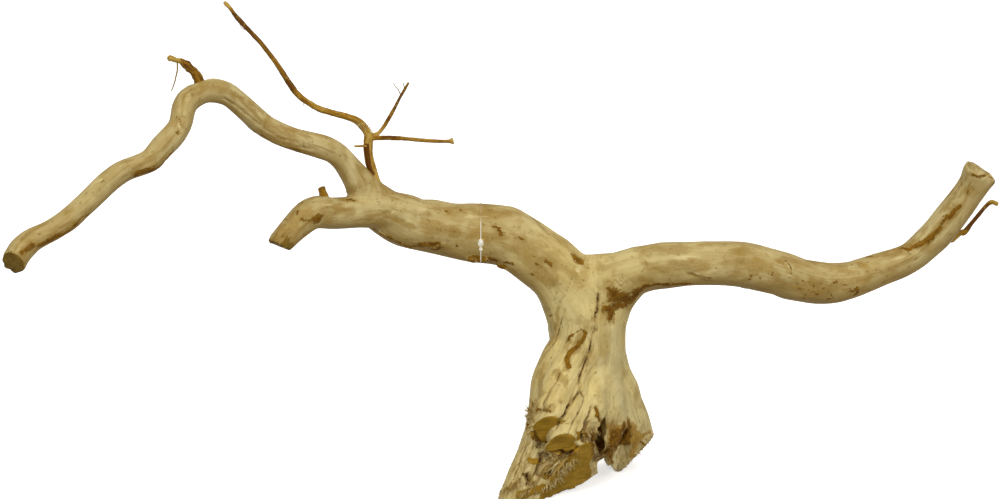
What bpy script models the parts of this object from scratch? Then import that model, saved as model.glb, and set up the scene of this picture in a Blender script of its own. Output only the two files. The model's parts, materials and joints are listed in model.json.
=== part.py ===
"""A piece of root driftwood, standing on its sawn root flare, with a plastic tag loop round one arm.

The wood is one solid. Limbs are lofted along measured centre lines, joined into one skin, sawn at
their ends, and the thin twigs are joined on last. The tag loop is a second solid, a thread drawn
tight round the thick left arm. Lengths are in millimetres until the meshes are made, in metres.

Axes: +X to the right, +Y to the back, +Z up. The origin is on the flat underside of the roots.
"""

import math

import bmesh
import bpy
from mathutils import Matrix, Vector, noise
from mathutils.bvhtree import BVHTree

MM = 0.001

# The front sight: every station below was measured in a front view that looks down on the wood
VIEW_PITCH = math.radians(15.0)
VIEW_DISTANCE = 2500.0
AIM = Vector((-53.5, 0.0, 182.5))
AIM_ACROSS = 52.5
AIM_UP = 172.9
SIGHT = Vector((0.0, math.cos(VIEW_PITCH), -math.sin(VIEW_PITCH)))
SIGHT_UP = Vector((0.0, math.sin(VIEW_PITCH), math.cos(VIEW_PITCH)))

# How finely the skin is made
SKIN_VOXEL = 1.9
SKIN_SMOOTHING = 6
SKIN_SHRINK = 0.35
SKIN_TRIANGLES = 8600
LIMB_SIDES = 28
LIMB_STEP = 4.0
SAWN_ROOT_SIDES = 20
SAWN_ROOT_STEP = 7.0
TWIG_SIDES = 7
TWIG_STEP = 7.0
SPLIT_SIDES = 6
SPLIT_STEP = 9.0

# How much the limbs and the twigs swell here and there, and how long each swelling is
LIMB_SWELLING = 0.10
TWIG_SWELLING = 0.16
SWELLING_SIZE = 17.0

# The slab under the floor that levels the underside
GROUND_SIZE = (900.0, 500.0, 80.0)

# Each station is (across, up, back, half width) or (across, up, back, half width, half depth)
LIMBS = {
    "left_arm": [
        (8, 138, 0, 25), (-6, 154, 0, 22, 22), (-22.5, 168.5, 3, 20.4), (-45.4, 181.8, 6, 21.5, 20),
        (-68, 185, 9, 21, 20), (-92, 188, 11, 20.3, 20), (-112, 191, 12, 19.2, 18.5),
        (-132.5, 196, 12, 17), (-146, 208, 11, 15.4, 14.5), (-155, 219, 9, 11.8),
        (-164.5, 232.6, 6, 9.8), (-176, 245, 1, 8.8), (-189.3, 251.2, -3, 8.8),
        (-207, 256.2, -6, 8.1), (-226.5, 264.1, -10, 8.3), (-242.4, 277.5, -14, 8.4),
        (-255.7, 288.5, -18, 7.9), (-270, 292.4, -24, 9), (-280.7, 288.5, -33, 8.5),
        (-289.2, 281.4, -42, 8.6), (-291.4, 268.7, -51, 8.1), (-297, 259, -58, 8.8),
        (-305.8, 249.8, -66, 8.7), (-316.2, 238.7, -75, 8.1), (-333.8, 232.5, -84, 8.1),
        (-346, 223.8, -92, 8.0), (-360.2, 210.2, -101, 8.0), (-375.4, 196.3, -111, 8.2),
        (-389.7, 186.5, -121, 8.2), (-403.2, 180.3, -130, 8.9), (-411.5, 173, -139, 9.6),
        (-417.5, 163, -149, 9.6), (-422, 152, -158, 9.2), (-425, 142, -166, 9),
    ],
    "stub_arm": [
        (-118, 196, 12, 17), (-140, 202, 6, 14.4), (-158, 201.5, 0, 12), (-175, 200, -7, 11.2, 11.5),
        (-188, 201.4, -14, 12.2, 11.5), (-198, 197.2, -21, 11.4), (-206.3, 190.4, -28, 10.2),
        (-214.4, 181.3, -35, 9.2), (-222, 171, -42, 8.6), (-228, 162, -48, 8.4),
    ],
    "right_arm": [
        (4, 138, 0, 25), (20, 144, -2, 22), (36, 152.8, -4, 17.8), (54, 158.2, -6, 17.2),
        (74, 161.6, -9, 17), (96, 162.3, -11, 15.6), (118, 162.8, -11, 16.2), (138, 160.2, -9, 17.3),
        (156, 155.6, -5, 15.9), (172, 150, 1, 16.2), (187, 147.4, 8, 15.8), (203, 148.6, 16, 14.2),
        (221, 153.6, 25, 12.7), (240, 160.4, 33, 11.8), (254.2, 166.6, 38, 11.2), (266, 176, 42, 11.3),
        (277, 187, 44, 11.8), (287, 200, 45, 11), (295.8, 211.5, 45, 10.9), (302, 220.3, 44, 11.2),
        (306.6, 227.6, 43, 12.6), (311, 235, 42, 12.4), (316, 243, 41, 11.5),
    ],
    "trunk": [
        (13, 154, 0, 12), (12, 144, 0, 24, 22), (12, 132, 0, 28, 26), (12, 117, 0, 28.4, 26.5),
        (12, 100, 0, 28, 27), (11, 84, 0, 28, 28), (11, 68, 0, 31, 31), (10, 52, 2, 33, 32),
        (8, 36, 4, 33, 31), (6, 18, 6, 29, 28), (6, -6, 8, 26, 26),
    ],
    "saddle": [
        (-12, 162, 1, 8), (2, 159.5, -1, 9.8), (15, 158, -2, 10.8), (28, 157.6, -3, 12), (42, 160, -5, 12),
    ],
    "left_web": [
        (-62, 185, 8, 15), (-35, 169, 0, 16.6), (-13, 149, -3, 16.4), (-3, 127, -4, 16),
        (2, 107, -5, 16.4), (-1, 88, -8, 17),
    ],
    "right_web": [
        (78, 162, -8, 13), (50, 155.6, -4, 14.8), (34.5, 141, 0, 16.4), (27, 124, 2, 16),
        (23, 106, 3, 16), (24, 88, 5, 16),
    ],
    "outer_root": [
        (2, 108, -8, 12), (-8.6, 93, -14, 12.8), (-14.4, 78, -18, 13.2), (-17, 64, -22, 13),
        (-19.2, 50, -26, 12.4), (-22.4, 35, -30, 11.4), (-28, 20, -35, 10.8), (-36, 5, -39, 10),
        (-42, -8, -41, 9.2), (-47, -20, -43, 8.5),
    ],
    "tip_root": [
        (-19, 34, -30, 10), (-25, 18, -36, 10.5), (-31, 3, -38, 11), (-36, -10, -38, 11), (-40, -22, -38, 11),
    ],
    "front_root": [
        (18, 100, -6, 9), (18, 82, -15, 11.5), (15, 61, -25, 12.5), (10, 40, -33, 13), (3, 21, -38, 15),
        (-5, 6, -36, 16.5), (-13, -8, -32, 18), (-19, -22, -29, 18),
    ],
    "heel_root": [
        (0, 40, -24, 18), (-4, 22, -24, 22), (-8, 6, -22, 24), (-12, -8, -20, 24),
        (-14, -20, -18, 22),
    ],
    "right_foot": [
        (22, 122, 2, 15, 18), (23, 104, 5, 15.5, 20), (26, 84, 9, 17, 20), (32, 66, 13, 18.6, 19),
        (37.5, 50, 18, 20, 18), (43, 36, 23, 19.6, 16), (45, 22, 28, 18, 14), (45, 6, 33, 16, 13),
        (45, -8, 38, 15, 12),
    ],
    "back_root": [
        (8, 114, 10, 18), (4, 90, 20, 19, 17), (-2, 64, 31, 18, 16), (-8, 40, 42, 16, 15),
        (-13, 16, 54, 14), (-17, -8, 65, 13),
    ],
    "back_left_root": [
        (0, 104, 6, 15), (-9, 80, 12, 15), (-16, 56, 17, 12.6), (-22, 34, 23, 11), (-28, 12, 29, 11.5),
        (-32, -10, 35, 11),
    ],
    "back_right_root": [
        (16, 104, 10, 15), (22, 80, 18, 15), (29, 57, 26, 14), (35, 35, 34, 13), (39, 13, 41, 12),
        (42, -8, 48, 11),
    ],
}

# Roots sawn off part way down: their stations, then a point on the cut and the way the cut looks
SAWN_ROOTS = {
    "knob_root": (
        [
            (4, 122, -4, 9), (3, 106, -11, 11.5), (0, 91, -19, 13), (-5, 77, -27, 13.8),
            (-10, 64, -36, 13.6), (-13.5, 52, -44, 13), (-17, 39, -51, 12.4), (-20, 26, -56, 12),
        ],
        ((-16.5, 41, -55), (0.03, -0.90, -0.43)),
    ),
    "middle_root": (
        [
            (10, 106, -8, 7), (8, 90, -18, 9), (5, 72, -28, 10.4), (1, 55, -37, 11),
            (-3, 41, -46, 11), (-7.5, 28, -54, 10.5), (-12, 14, -60, 10),
        ],
        ((-5, 28, -56), (0.18, -0.86, -0.48)),
    ),
    "short_root": (
        [
            (16, 84, -14, 7), (14, 68, -25, 8.4), (11, 54, -34, 9), (7, 41, -42, 9), (3, 29, -48, 9),
            (-1, 17, -53, 8.5),
        ],
        ((4.5, 31, -50), (0.3, -0.80, -0.52)),
    ),
}

# Thin side twigs, grown from the limbs
TWIGS = {
    "stem": [
        (-146, 224, 12, 3.6), (-149, 234, 15, 3.7), (-151, 243, 17, 3.4), (-151.5, 251, 18, 3.6),
        (-151, 257, 18, 3.8), (-150.5, 261, 18, 3.0),
    ],
    "long_twig": [
        (-150, 256, 18, 3.4), (-154.5, 264.5, 19, 3.6), (-160, 269.5, 20, 3.2), (-167, 272.4, 22, 2.7),
        (-177, 275, 25, 2.5), (-187.5, 278.2, 28, 2.5), (-198, 284, 31, 2.4), (-205, 290, 34, 2.3),
        (-209.5, 296, 36, 2.4), (-218.5, 310, 40, 2.1), (-226.5, 321, 44, 1.9),
        (-233, 329, 47, 1.9), (-242, 338.5, 51, 1.9), (-248.5, 345.5, 54, 2.0),
        (-251.5, 349, 56, 1.7), (-255, 354, 58, 1.5), (-259.5, 358.5, 60, 1.3),
    ],
    "level_twig": [
        (-150, 256.5, 18, 2.1), (-141, 256.6, 14, 1.9), (-130, 256.4, 8, 1.7),
        (-114, 255, 1, 1.5), (-98, 254, -6, 1.4), (-91, 254, -9, 1.3), (-87.6, 254.6, -10, 2.5),
    ],
    "upright_twig": [
        (-149, 258, 18, 1.9), (-144, 260, 20, 1.6), (-140, 264.5, 23, 1.5), (-134, 274.5, 28, 1.5),
        (-128, 286, 34, 1.2), (-121, 298, 40, 1.0),
    ],
    "short_twig": [
        (-150, 251, 18, 1.5), (-155, 250.5, 14, 1.1), (-161.5, 250.4, 10, 1.0),
    ],
    "bend_spur": [
        (-275, 288, -26, 3.8), (-279, 299, -27, 3.8), (-283.3, 307.2, -28, 3.5),
        (-288.8, 312.6, -30, 3.0), (-293, 314.6, -33, 2.2), (-300, 316.2, -37, 2.0),
    ],
    "stub_spur": [
        (-183, 206, -8, 3.8), (-184.5, 213, -7, 3.6), (-186.6, 219, -8, 2.8),
    ],
    "end_twig": [
        (280, 182, 50, 2.2), (286, 180.5, 56, 2.3), (292, 185, 61, 2.4), (296, 186, 64, 2.3),
        (301, 192.4, 67, 1.7), (307, 199.5, 71, 1.6), (312, 205.6, 74, 1.6), (316, 208.4, 77, 2.0),
        (320.5, 207, 79, 2.0),
    ],
}

# Saw cuts: a point on the cut, the way its face looks, and its reach across the sight and along it
SAW_CUTS = {
    "arm_end": ((-416.6, 163.5, -150), (-0.36, -0.84, -0.40), (26, 26)),
    "stub_end": ((-218.2, 175.6, -38), (-0.38, -0.33, -0.86), (24, 24)),
    "big_face": ((4.5, 5, -39), (0.48, -0.77, -0.42), (32, 32)),
    "under_edge": ((5, -3, -5), (0.514, -0.222, -0.828), (30, 60)),
    "foot_edge": ((53.5, 24, 30), (0.74, -0.17, -0.65), (36, 60)),
    "right_end": ((310.1, 231.4, 42), (0.59, 0.0, 0.81), (30, 30)),
}
SAW_DEPTH = 40.0

# Rotted hollows in the root flare, stretched along the sight: centre and half sizes
HOLLOWS = {
    "foot_hollow": ((35, 36, 0), (8, 10, 13)),
    "gap_hollow": ((22, 37, -22), (5.0, 18, 23)),
    "gap_notch": ((23.5, 11.5, 4), (4.4, 60, 7)),
}

# Drying splits, as the front sight shows them: (across, up, half width), and how deep they go
SPLITS = {
    "long_split": (
        [
            (20, 152, 0.4), (20.3, 134, 0.8), (18.8, 126, 0.9), (18.8, 113, 1.1), (15.8, 101, 0.9),
            (11, 86, 0.9), (7.5, 77, 1.1), (8, 67, 1.1), (5, 60, 1.0), (0, 53, 1.0), (-5, 44, 0.7),
        ],
        7.0,
    ),
    "left_split": ([(-6.5, 82, 0.5), (-12, 73, 1.0), (-17, 64, 1.0), (-20.5, 56, 0.6)], 5.0),
}

# The tag loop
LOOP_ACROSS = -66.8
LOOP_UP = 185.0
LOOP_BACK = 9.0
LOOP_SEARCH = 60.0
THREAD_RADIUS = 0.6
THREAD_GAP = 0.3
LOOP_POINTS = 72
THREAD_SIDES = 8
BEADS = {"bead": (182.6, 2.5), "knob": (178.6, 1.3)}


def eye_point():
    return AIM - SIGHT * VIEW_DISTANCE


def sight_ray(across, up):
    """The way the front sight looks to see (across, up)."""
    return AIM + Vector((across + AIM_ACROSS, 0.0, 0.0)) + SIGHT_UP * (up - AIM_UP) - eye_point()


def stand(across, up, back):
    """The point, in mm, that the front sight shows at (across, up) at that depth, and its scale there."""
    ray = sight_ray(across, up)
    reach = (back - eye_point().y) / ray.y
    return eye_point() + ray * reach, reach


def path_of(stations, step):
    """A smooth run of (point, half width, half depth) through the stations, about one step apart."""
    knots = []
    for across, up, back, wide, *deep in stations:
        point, reach = stand(across, up, back)
        knots.append(Vector((*point, wide * reach, (deep[0] if deep else wide) * reach)))
    run = []
    for i in range(len(knots) - 1):
        before, a = knots[max(i - 1, 0)], knots[i]
        b, after = knots[i + 1], knots[min(i + 2, len(knots) - 1)]
        pieces = max(1, round((b - a).length / step))
        for k in range(pieces):
            t = k / pieces
            bend = (b - before) * t + (before * 2 - a * 5 + b * 4 - after) * t * t
            run.append(a + (bend + (a * 3 - before - b * 3 + after) * t**3) * 0.5)
    run.append(knots[-1])
    return [(Vector(k[:3]), k[3], k[4]) for k in run]


def ring_frames(path):
    """For each point of a path, the directions of its width and its depth."""
    frames = []
    for i in range(len(path)):
        along = (path[min(i + 1, len(path) - 1)][0] - path[max(i - 1, 0)][0]).normalized()
        width = along.cross(SIGHT).normalized()
        frames.append((width, width.cross(along).normalized()))
    return frames


def loft(bm, path, sides, grow=0.0, swelling=0.0):
    """Adds one closed tube to bm, its rings swollen here and there by a smooth noise."""
    rings = []
    for (centre, wide, deep), (width, depth) in zip(path, ring_frames(path)):
        ring = []
        for k in range(sides):
            turn = math.tau * k / sides
            out = width * math.cos(turn) * (wide + grow) + depth * math.sin(turn) * (deep + grow)
            swell = 1.0 + swelling * noise.noise((centre + out) / SWELLING_SIZE)
            ring.append(bm.verts.new((centre + out * swell) * MM))
        rings.append(ring)
    for a, b in zip(rings, rings[1:]):
        for k in range(sides):
            n = (k + 1) % sides
            bm.faces.new((a[k], a[n], b[n], b[k]))
    bm.faces.new(reversed(rings[0]))
    bm.faces.new(rings[-1])


def mesh_object(name, bm):
    """Turns bm into an object of the scene, its faces pointing out."""
    bmesh.ops.recalc_face_normals(bm, faces=bm.faces)
    mesh = bpy.data.meshes.new(name)
    bm.to_mesh(mesh)
    bm.free()
    made = bpy.data.objects.new(name, mesh)
    bpy.context.scene.collection.objects.link(made)
    return made


def freeze(obj):
    """Applies the object's modifiers to its mesh."""
    graph = bpy.context.evaluated_depsgraph_get()
    graph.update()
    made = bpy.data.meshes.new_from_object(obj.evaluated_get(graph))
    obj.modifiers.clear()
    old, obj.data = obj.data, made
    bpy.data.meshes.remove(old)


def wood_skin():
    """All the limbs as one smooth closed skin."""
    bm = bmesh.new()
    for stations in LIMBS.values():
        loft(bm, path_of(stations, LIMB_STEP), LIMB_SIDES, SKIN_SHRINK, LIMB_SWELLING)
    skin = mesh_object("driftwood", bm)
    remesh = skin.modifiers.new("skin", "REMESH")
    remesh.mode = "VOXEL"
    remesh.voxel_size = SKIN_VOXEL * MM
    smooth = skin.modifiers.new("worn", "SMOOTH")
    smooth.factor = 0.5
    smooth.iterations = SKIN_SMOOTHING
    freeze(skin)
    decimate = skin.modifiers.new("fewer faces", "DECIMATE")
    decimate.ratio = SKIN_TRIANGLES / (2.0 * len(skin.data.polygons))
    decimate.use_collapse_triangulate = True
    freeze(skin)
    return skin


def sawn_root(stations, cut):
    """One root as a tube of its own, ending in the flat face that the saw left."""
    point, face = cut
    bm = bmesh.new()
    loft(bm, path_of(stations, SAWN_ROOT_STEP), SAWN_ROOT_SIDES, 0.0, LIMB_SWELLING)
    bmesh.ops.bisect_plane(
        bm,
        geom=bm.verts[:] + bm.edges[:] + bm.faces[:],
        plane_co=stand(*point)[0] * MM,
        plane_no=Vector(face).normalized(),
        clear_outer=True,
    )
    bmesh.ops.holes_fill(bm, edges=[edge for edge in bm.edges if edge.is_boundary])
    bmesh.ops.recalc_face_normals(bm, faces=bm.faces)
    return bm


def saw_block(point, face, reach):
    """A block whose near side is the sawn face."""
    bm = bmesh.new()
    bmesh.ops.create_cube(bm, size=1.0)
    bmesh.ops.scale(bm, verts=bm.verts, vec=Vector((2 * reach[0], 2 * reach[1], SAW_DEPTH)) * MM)
    out = Vector(face).normalized()
    along = (SIGHT - out * SIGHT.dot(out)).normalized()
    turn = Matrix((along.cross(out), along, out)).transposed().to_4x4()
    centre = stand(*point)[0] + out * SAW_DEPTH / 2
    bmesh.ops.transform(bm, verts=bm.verts, matrix=Matrix.Translation(centre * MM) @ turn)
    return bm


def hollow_block(centre, half):
    """A rounded cutter for a rotted hollow, its length along the sight."""
    bm = bmesh.new()
    bmesh.ops.create_icosphere(bm, subdivisions=3, radius=1.0)
    bmesh.ops.scale(bm, verts=bm.verts, vec=Vector(half) * MM)
    turn = Matrix.Rotation(-VIEW_PITCH, 4, "X")
    place = Matrix.Translation(stand(*centre)[0] * MM)
    bmesh.ops.transform(bm, verts=bm.verts, matrix=place @ turn)
    return bm


def split_blade(wood, points, depth):
    """A thin cutter that follows a drying split over the front of the wood."""
    tree = BVHTree.FromObject(wood, bpy.context.evaluated_depsgraph_get())
    stations = []
    for across, up, wide in points:
        hit = tree.ray_cast(eye_point() * MM, sight_ray(across, up).normalized())[0]
        stations.append((across, up, hit.y / MM, wide, depth))
    bm = bmesh.new()
    loft(bm, path_of(stations, SPLIT_STEP), SPLIT_SIDES)
    bmesh.ops.recalc_face_normals(bm, faces=bm.faces)
    return bm


def ground_block():
    """The slab that levels the underside at the floor."""
    bm = bmesh.new()
    bmesh.ops.create_cube(bm, size=1.0)
    bmesh.ops.scale(bm, verts=bm.verts, vec=Vector(GROUND_SIZE) * MM)
    bmesh.ops.translate(bm, verts=bm.verts, vec=Vector((0, 0, -GROUND_SIZE[2] / 2)) * MM)
    return bm


def combine(obj, blocks, operation):
    """Cuts away or joins each closed bmesh in blocks, one after another."""
    for name, bm in blocks.items():
        other = mesh_object(name, bm)
        step = obj.modifiers.new(name, "BOOLEAN")
        step.operation = operation
        step.solver = "EXACT"
        step.object = other
        freeze(obj)
        bpy.data.objects.remove(other)


def twig_tubes():
    tubes = {}
    for name, stations in TWIGS.items():
        bm = bmesh.new()
        loft(bm, path_of(stations, TWIG_STEP), TWIG_SIDES, 0.0, TWIG_SWELLING)
        bmesh.ops.recalc_face_normals(bm, faces=bm.faces)
        tubes[name] = bm
    return tubes


def loop_line(wood):
    """The centre line of the thread: the taut outline of the arm's section, a little outside it."""
    tree = BVHTree.FromObject(wood, bpy.context.evaluated_depsgraph_get())
    core = stand(LOOP_ACROSS, LOOP_UP, LOOP_BACK)[0]
    ways = []
    for k in range(LOOP_POINTS):
        turn = math.tau * k / LOOP_POINTS
        ways.append(Vector((0.0, math.sin(turn), math.cos(turn))))
    section = [tree.ray_cast((core + out * LOOP_SEARCH) * MM, -out)[0] / MM - core for out in ways]
    # A taut thread skips every hollow of the section, so each point lies as far out as its neighbours need
    reach = [max(p.dot(out) for p in section) for out in ways]
    line = []
    for k, out in enumerate(ways):
        slope = (reach[(k + 1) % LOOP_POINTS] - reach[k - 1]) / (2 * math.tau / LOOP_POINTS)
        side = Vector((0.0, out.z, -out.y))
        line.append(core + out * (reach[k] + THREAD_RADIUS + THREAD_GAP) + side * slope)
    return line


def tag_loop(wood):
    """The thread of the loop, with the lock bead and the knob of its pin at the front."""
    line = loop_line(wood)
    side = Vector((1.0, 0.0, 0.0))
    bm = bmesh.new()
    rings = []
    for k, centre in enumerate(line):
        out = (line[(k + 1) % LOOP_POINTS] - line[k - 1]).cross(side).normalized()
        ring = []
        for j in range(THREAD_SIDES):
            turn = math.tau * j / THREAD_SIDES
            spoke = side * math.cos(turn) + out * math.sin(turn)
            ring.append(bm.verts.new((centre + spoke * THREAD_RADIUS) * MM))
        rings.append(ring)
    for k in range(LOOP_POINTS):
        a, b = rings[k], rings[(k + 1) % LOOP_POINTS]
        for j in range(THREAD_SIDES):
            n = (j + 1) % THREAD_SIDES
            bm.faces.new((a[j], a[n], b[n], b[j]))
    loop = mesh_object("tag_loop", bm)
    front = [p for p in line if p.y < LOOP_BACK]
    beads = {}
    for name, (up, radius) in BEADS.items():
        level = stand(LOOP_ACROSS, up, LOOP_BACK)[0].z
        seat = min(front, key=lambda p: abs(p.z - level))
        lift = Vector((0.0, THREAD_RADIUS - radius, 0.0))
        bead = bmesh.new()
        bmesh.ops.create_icosphere(bead, subdivisions=2, radius=radius * MM)
        bmesh.ops.translate(bead, verts=bead.verts, vec=(seat + lift) * MM)
        beads[name] = bead
    combine(loop, beads, "UNION")
    return loop


def finish_of(obj, name, colour, roughness):
    material = bpy.data.materials.new(name)
    material.use_nodes = True
    shader = material.node_tree.nodes["Principled BSDF"]
    shader.inputs["Base Color"].default_value = (*colour, 1.0)
    shader.inputs["Roughness"].default_value = roughness
    obj.data.materials.clear()
    obj.data.materials.append(material)


def main():
    for obj in list(bpy.data.objects):
        bpy.data.objects.remove(obj)
    wood = wood_skin()
    combine(wood, {name: sawn_root(*root) for name, root in SAWN_ROOTS.items()}, "UNION")
    combine(wood, {name: saw_block(*cut) for name, cut in SAW_CUTS.items()}, "DIFFERENCE")
    combine(wood, {name: hollow_block(*part) for name, part in HOLLOWS.items()}, "DIFFERENCE")
    combine(wood, {name: split_blade(wood, *split) for name, split in SPLITS.items()}, "DIFFERENCE")
    combine(wood, twig_tubes(), "UNION")
    combine(wood, {"ground": ground_block()}, "DIFFERENCE")
    finish_of(wood, "peeled_wood", (0.48, 0.37, 0.18), 0.75)
    loop = tag_loop(wood)
    finish_of(loop, "clear_nylon", (0.82, 0.83, 0.80), 0.35)


main()
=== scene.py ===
# %% [markdown]
# # A piece of root driftwood
# The real object is a root that was dug up, peeled, dried and sawn at its ends. It stands on its root
# flare, and two long bent arms, a stub and a few thin twigs grow from it. A clear plastic tag loop sits
# on the thick left arm. The measured solid of it is loaded first, and everything below is the skin,
# the grain, the cracks, the bark and the fibres that a solid for measuring leaves out.

# %% Load the measured solid
import json
import math
import random

import bmesh
import bpy
import numpy as np
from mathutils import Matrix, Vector, noise
from mathutils.bvhtree import BVHTree

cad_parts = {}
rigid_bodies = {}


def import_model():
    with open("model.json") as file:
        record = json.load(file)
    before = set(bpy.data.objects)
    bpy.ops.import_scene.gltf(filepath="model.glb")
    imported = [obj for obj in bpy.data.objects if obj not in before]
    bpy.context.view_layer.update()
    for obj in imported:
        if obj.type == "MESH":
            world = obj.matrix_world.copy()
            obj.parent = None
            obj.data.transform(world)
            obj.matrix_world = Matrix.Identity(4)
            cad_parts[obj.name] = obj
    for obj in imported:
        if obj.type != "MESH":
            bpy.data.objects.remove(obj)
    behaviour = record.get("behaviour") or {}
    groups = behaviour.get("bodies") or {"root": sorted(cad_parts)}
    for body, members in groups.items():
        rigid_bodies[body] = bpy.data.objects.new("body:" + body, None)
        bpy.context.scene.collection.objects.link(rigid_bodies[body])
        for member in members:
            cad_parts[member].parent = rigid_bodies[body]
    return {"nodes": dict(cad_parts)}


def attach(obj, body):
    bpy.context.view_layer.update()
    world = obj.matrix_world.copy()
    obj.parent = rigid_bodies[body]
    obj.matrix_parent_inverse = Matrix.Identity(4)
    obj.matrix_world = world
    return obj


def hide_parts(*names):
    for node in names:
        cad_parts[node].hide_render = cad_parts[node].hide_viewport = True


for obj in list(bpy.data.objects):
    bpy.data.objects.remove(obj)
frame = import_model()
MM = 0.001
random.seed(7)
# Without a seed, noise.noise_vector shifts its pattern by the time of day
noise.seed_set(7)


def into_scene(name, data):
    """A new object with this data, linked into the scene."""
    made = bpy.data.objects.new(name, data)
    bpy.context.scene.collection.objects.link(made)
    return made


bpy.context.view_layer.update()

# %% [markdown]
# ## The sight of the photograph
# A single photograph shows every mark of the wood at a pixel. A camera at the photograph's own place
# turns such a pixel into a ray, and where the ray meets the wood the mark is painted or modelled. The
# picture has no floor or shadow to read the tilt from. 15 degrees down fits the level saw cut below.

# %% The camera, and rays through pixels
VIEW_PITCH = math.radians(15.0)
VIEW_DISTANCE = 2.5
LENS = 120.0
SENSOR = 36.0
IMAGE = (1000.0, 499.0)
AIM = Vector((-0.0535, 0.0, 0.1825))
SIGHT = Vector((0.0, math.cos(VIEW_PITCH), -math.sin(VIEW_PITCH)))
SIGHT_UP = Vector((0.0, math.sin(VIEW_PITCH), math.cos(VIEW_PITCH)))
EYE = AIM - SIGHT * VIEW_DISTANCE
PIXEL = VIEW_DISTANCE * SENSOR / LENS / IMAGE[0]
STATION_ZERO = (570.0, 480.0)

camera = into_scene("camera", bpy.data.cameras.new("camera"))
camera.data.lens = LENS
camera.data.sensor_width = SENSOR
camera.location = EYE
camera.rotation_euler = (math.radians(90.0) - VIEW_PITCH, 0.0, 0.0)
bpy.context.scene.camera = camera


def sight(px, py):
    """The way from the camera through a pixel of the photograph."""
    across = Vector(((px - IMAGE[0] / 2) * PIXEL, 0.0, 0.0))
    return SIGHT * VIEW_DISTANCE + across + SIGHT_UP * ((IMAGE[1] / 2 - py) * PIXEL)


def at_depth(px, py, back):
    """The point that is seen at a pixel, at that depth."""
    ray = sight(px, py)
    return EYE + ray * ((back - EYE.y) / ray.y)


def pixel_at(across, up):
    """The pixel of a station, which is given in mm from the middle of the foot."""
    return STATION_ZERO[0] + across * MM / PIXEL, STATION_ZERO[1] - up * MM / PIXEL


def stand(across, up, back):
    """The point that is seen at a station, at a depth in mm."""
    return at_depth(*pixel_at(across, up), back * MM)


def on_skin(tree, px, py, back=0.0):
    """Where the sight through a pixel meets a surface, or the nearest spot if it just misses."""
    hit = tree.ray_cast(EYE, sight(px, py).normalized())[0]
    return hit or tree.find_nearest(at_depth(px, py, back))[0]


print("one pixel is", round(PIXEL / MM, 3), "mm, camera at", [round(v, 3) for v in EYE])

# %% [markdown]
# ## The run of the grain
# Wood fibres run along each limb and fan out in the root flare. A pattern that is stretched along X, Y
# or Z would cut across the bends, so each limb gets a centre line. From it every point of the wood
# learns how far along the limb it lies and on which side, and the material draws its streaks on that.

# %% The centre lines, and the grain of any point
CENTRE_ROOTS = {
    "left": [
        (-46, -22, -43), (-36, 5, -38), (-28, 20, -34), (-20, 38, -28), (-11, 58, -20), (0, 80, -10),
    ],
    "right": [
        (47, -22, 40), (45, 6, 33), (45, 22, 28), (43, 36, 23), (37, 50, 18), (30, 68, 12), (22, 84, 6),
    ],
}
CENTRE_TRUNK = [(12, 100, 0), (12, 117, 0)]
CENTRE_ARMS = {
    "left": [
        (10, 134, 0), (-6, 154, 0), (-22.5, 168.5, 3), (-45.4, 181.8, 6), (-68, 185, 9), (-92, 188, 11),
        (-112, 191, 12),
    ],
    "thin": [
        (-132.5, 196, 12), (-146, 208, 11), (-155, 219, 9), (-164.5, 232.6, 6), (-176, 245, 1),
        (-189.3, 251.2, -3), (-207, 256.2, -6), (-226.5, 264.1, -10), (-242.4, 277.5, -14),
        (-255.7, 288.5, -18), (-270, 292.4, -24), (-280.7, 288.5, -33), (-289.2, 281.4, -42),
        (-291.4, 268.7, -51), (-297, 259, -58), (-305.8, 249.8, -66), (-316.2, 238.7, -75),
        (-333.8, 232.5, -84), (-346, 223.8, -92), (-360.2, 210.2, -101), (-375.4, 196.3, -111),
        (-389.7, 186.5, -121), (-403.2, 180.3, -130), (-411.5, 173, -139), (-417.5, 163, -149),
        (-425, 142, -166),
    ],
    "stub": [
        (-140, 202, 6), (-158, 201.5, 0), (-175, 200, -7), (-188, 201.4, -14), (-198, 197.2, -21),
        (-206.3, 190.4, -28), (-214.4, 181.3, -35), (-222, 171, -42), (-228, 162, -48),
    ],
    "right": [
        (16, 136, 0), (36, 151, -4), (54, 158.2, -6), (74, 161.6, -9), (96, 162.3, -11), (118, 162.8, -11),
        (138, 160.2, -9), (156, 155.6, -5), (172, 150, 1), (187, 147.4, 8), (203, 148.6, 16),
        (221, 153.6, 25), (240, 160.4, 33), (254.2, 166.6, 38), (266, 176, 42), (277, 187, 44),
        (287, 200, 45), (295.8, 211.5, 45), (302, 220.3, 44), (306.6, 227.6, 43), (316, 243, 41),
    ],
}
LINE_STEP = 2.0 * MM
GRAIN_RADIUS = 14.0 * MM
GRAIN_BLEND = 4.0 * MM
SEARCH_ROWS = 8000


def fine_line(knots, step=LINE_STEP):
    """A smooth line through the knots, given as rows of numbers, with points about one step apart."""
    knots = np.array(knots, float)
    run = []
    for i in range(len(knots) - 1):
        a, b = knots[i], knots[i + 1]
        before, after = knots[max(i - 1, 0)], knots[min(i + 2, len(knots) - 1)]
        count = max(1, round(float(np.linalg.norm((b - a)[:3])) / step))
        for t in np.arange(count) / count:
            bend = (b - before) * t + (2 * before - 5 * a + 4 * b - after) * t**2
            run.append(a + 0.5 * (bend + (3 * a - before - 3 * b + after) * t**3))
    run.append(knots[-1])
    return np.array(run)


def carried_frames(points, start):
    """Directions along and beside each point of a line, carried from start so that they never twist."""
    along = np.gradient(points, axis=0)
    along /= np.linalg.norm(along, axis=1)[:, None]
    side = np.zeros_like(points)
    for order in (range(start, len(points)), range(start, -1, -1)):
        last = np.array((1.0, 0.0, 0.0))
        for i in order:
            last = last - along[i] * (last @ along[i])
            last /= np.linalg.norm(last)
            side[i] = last
    return along, side, np.cross(along, side)


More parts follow.
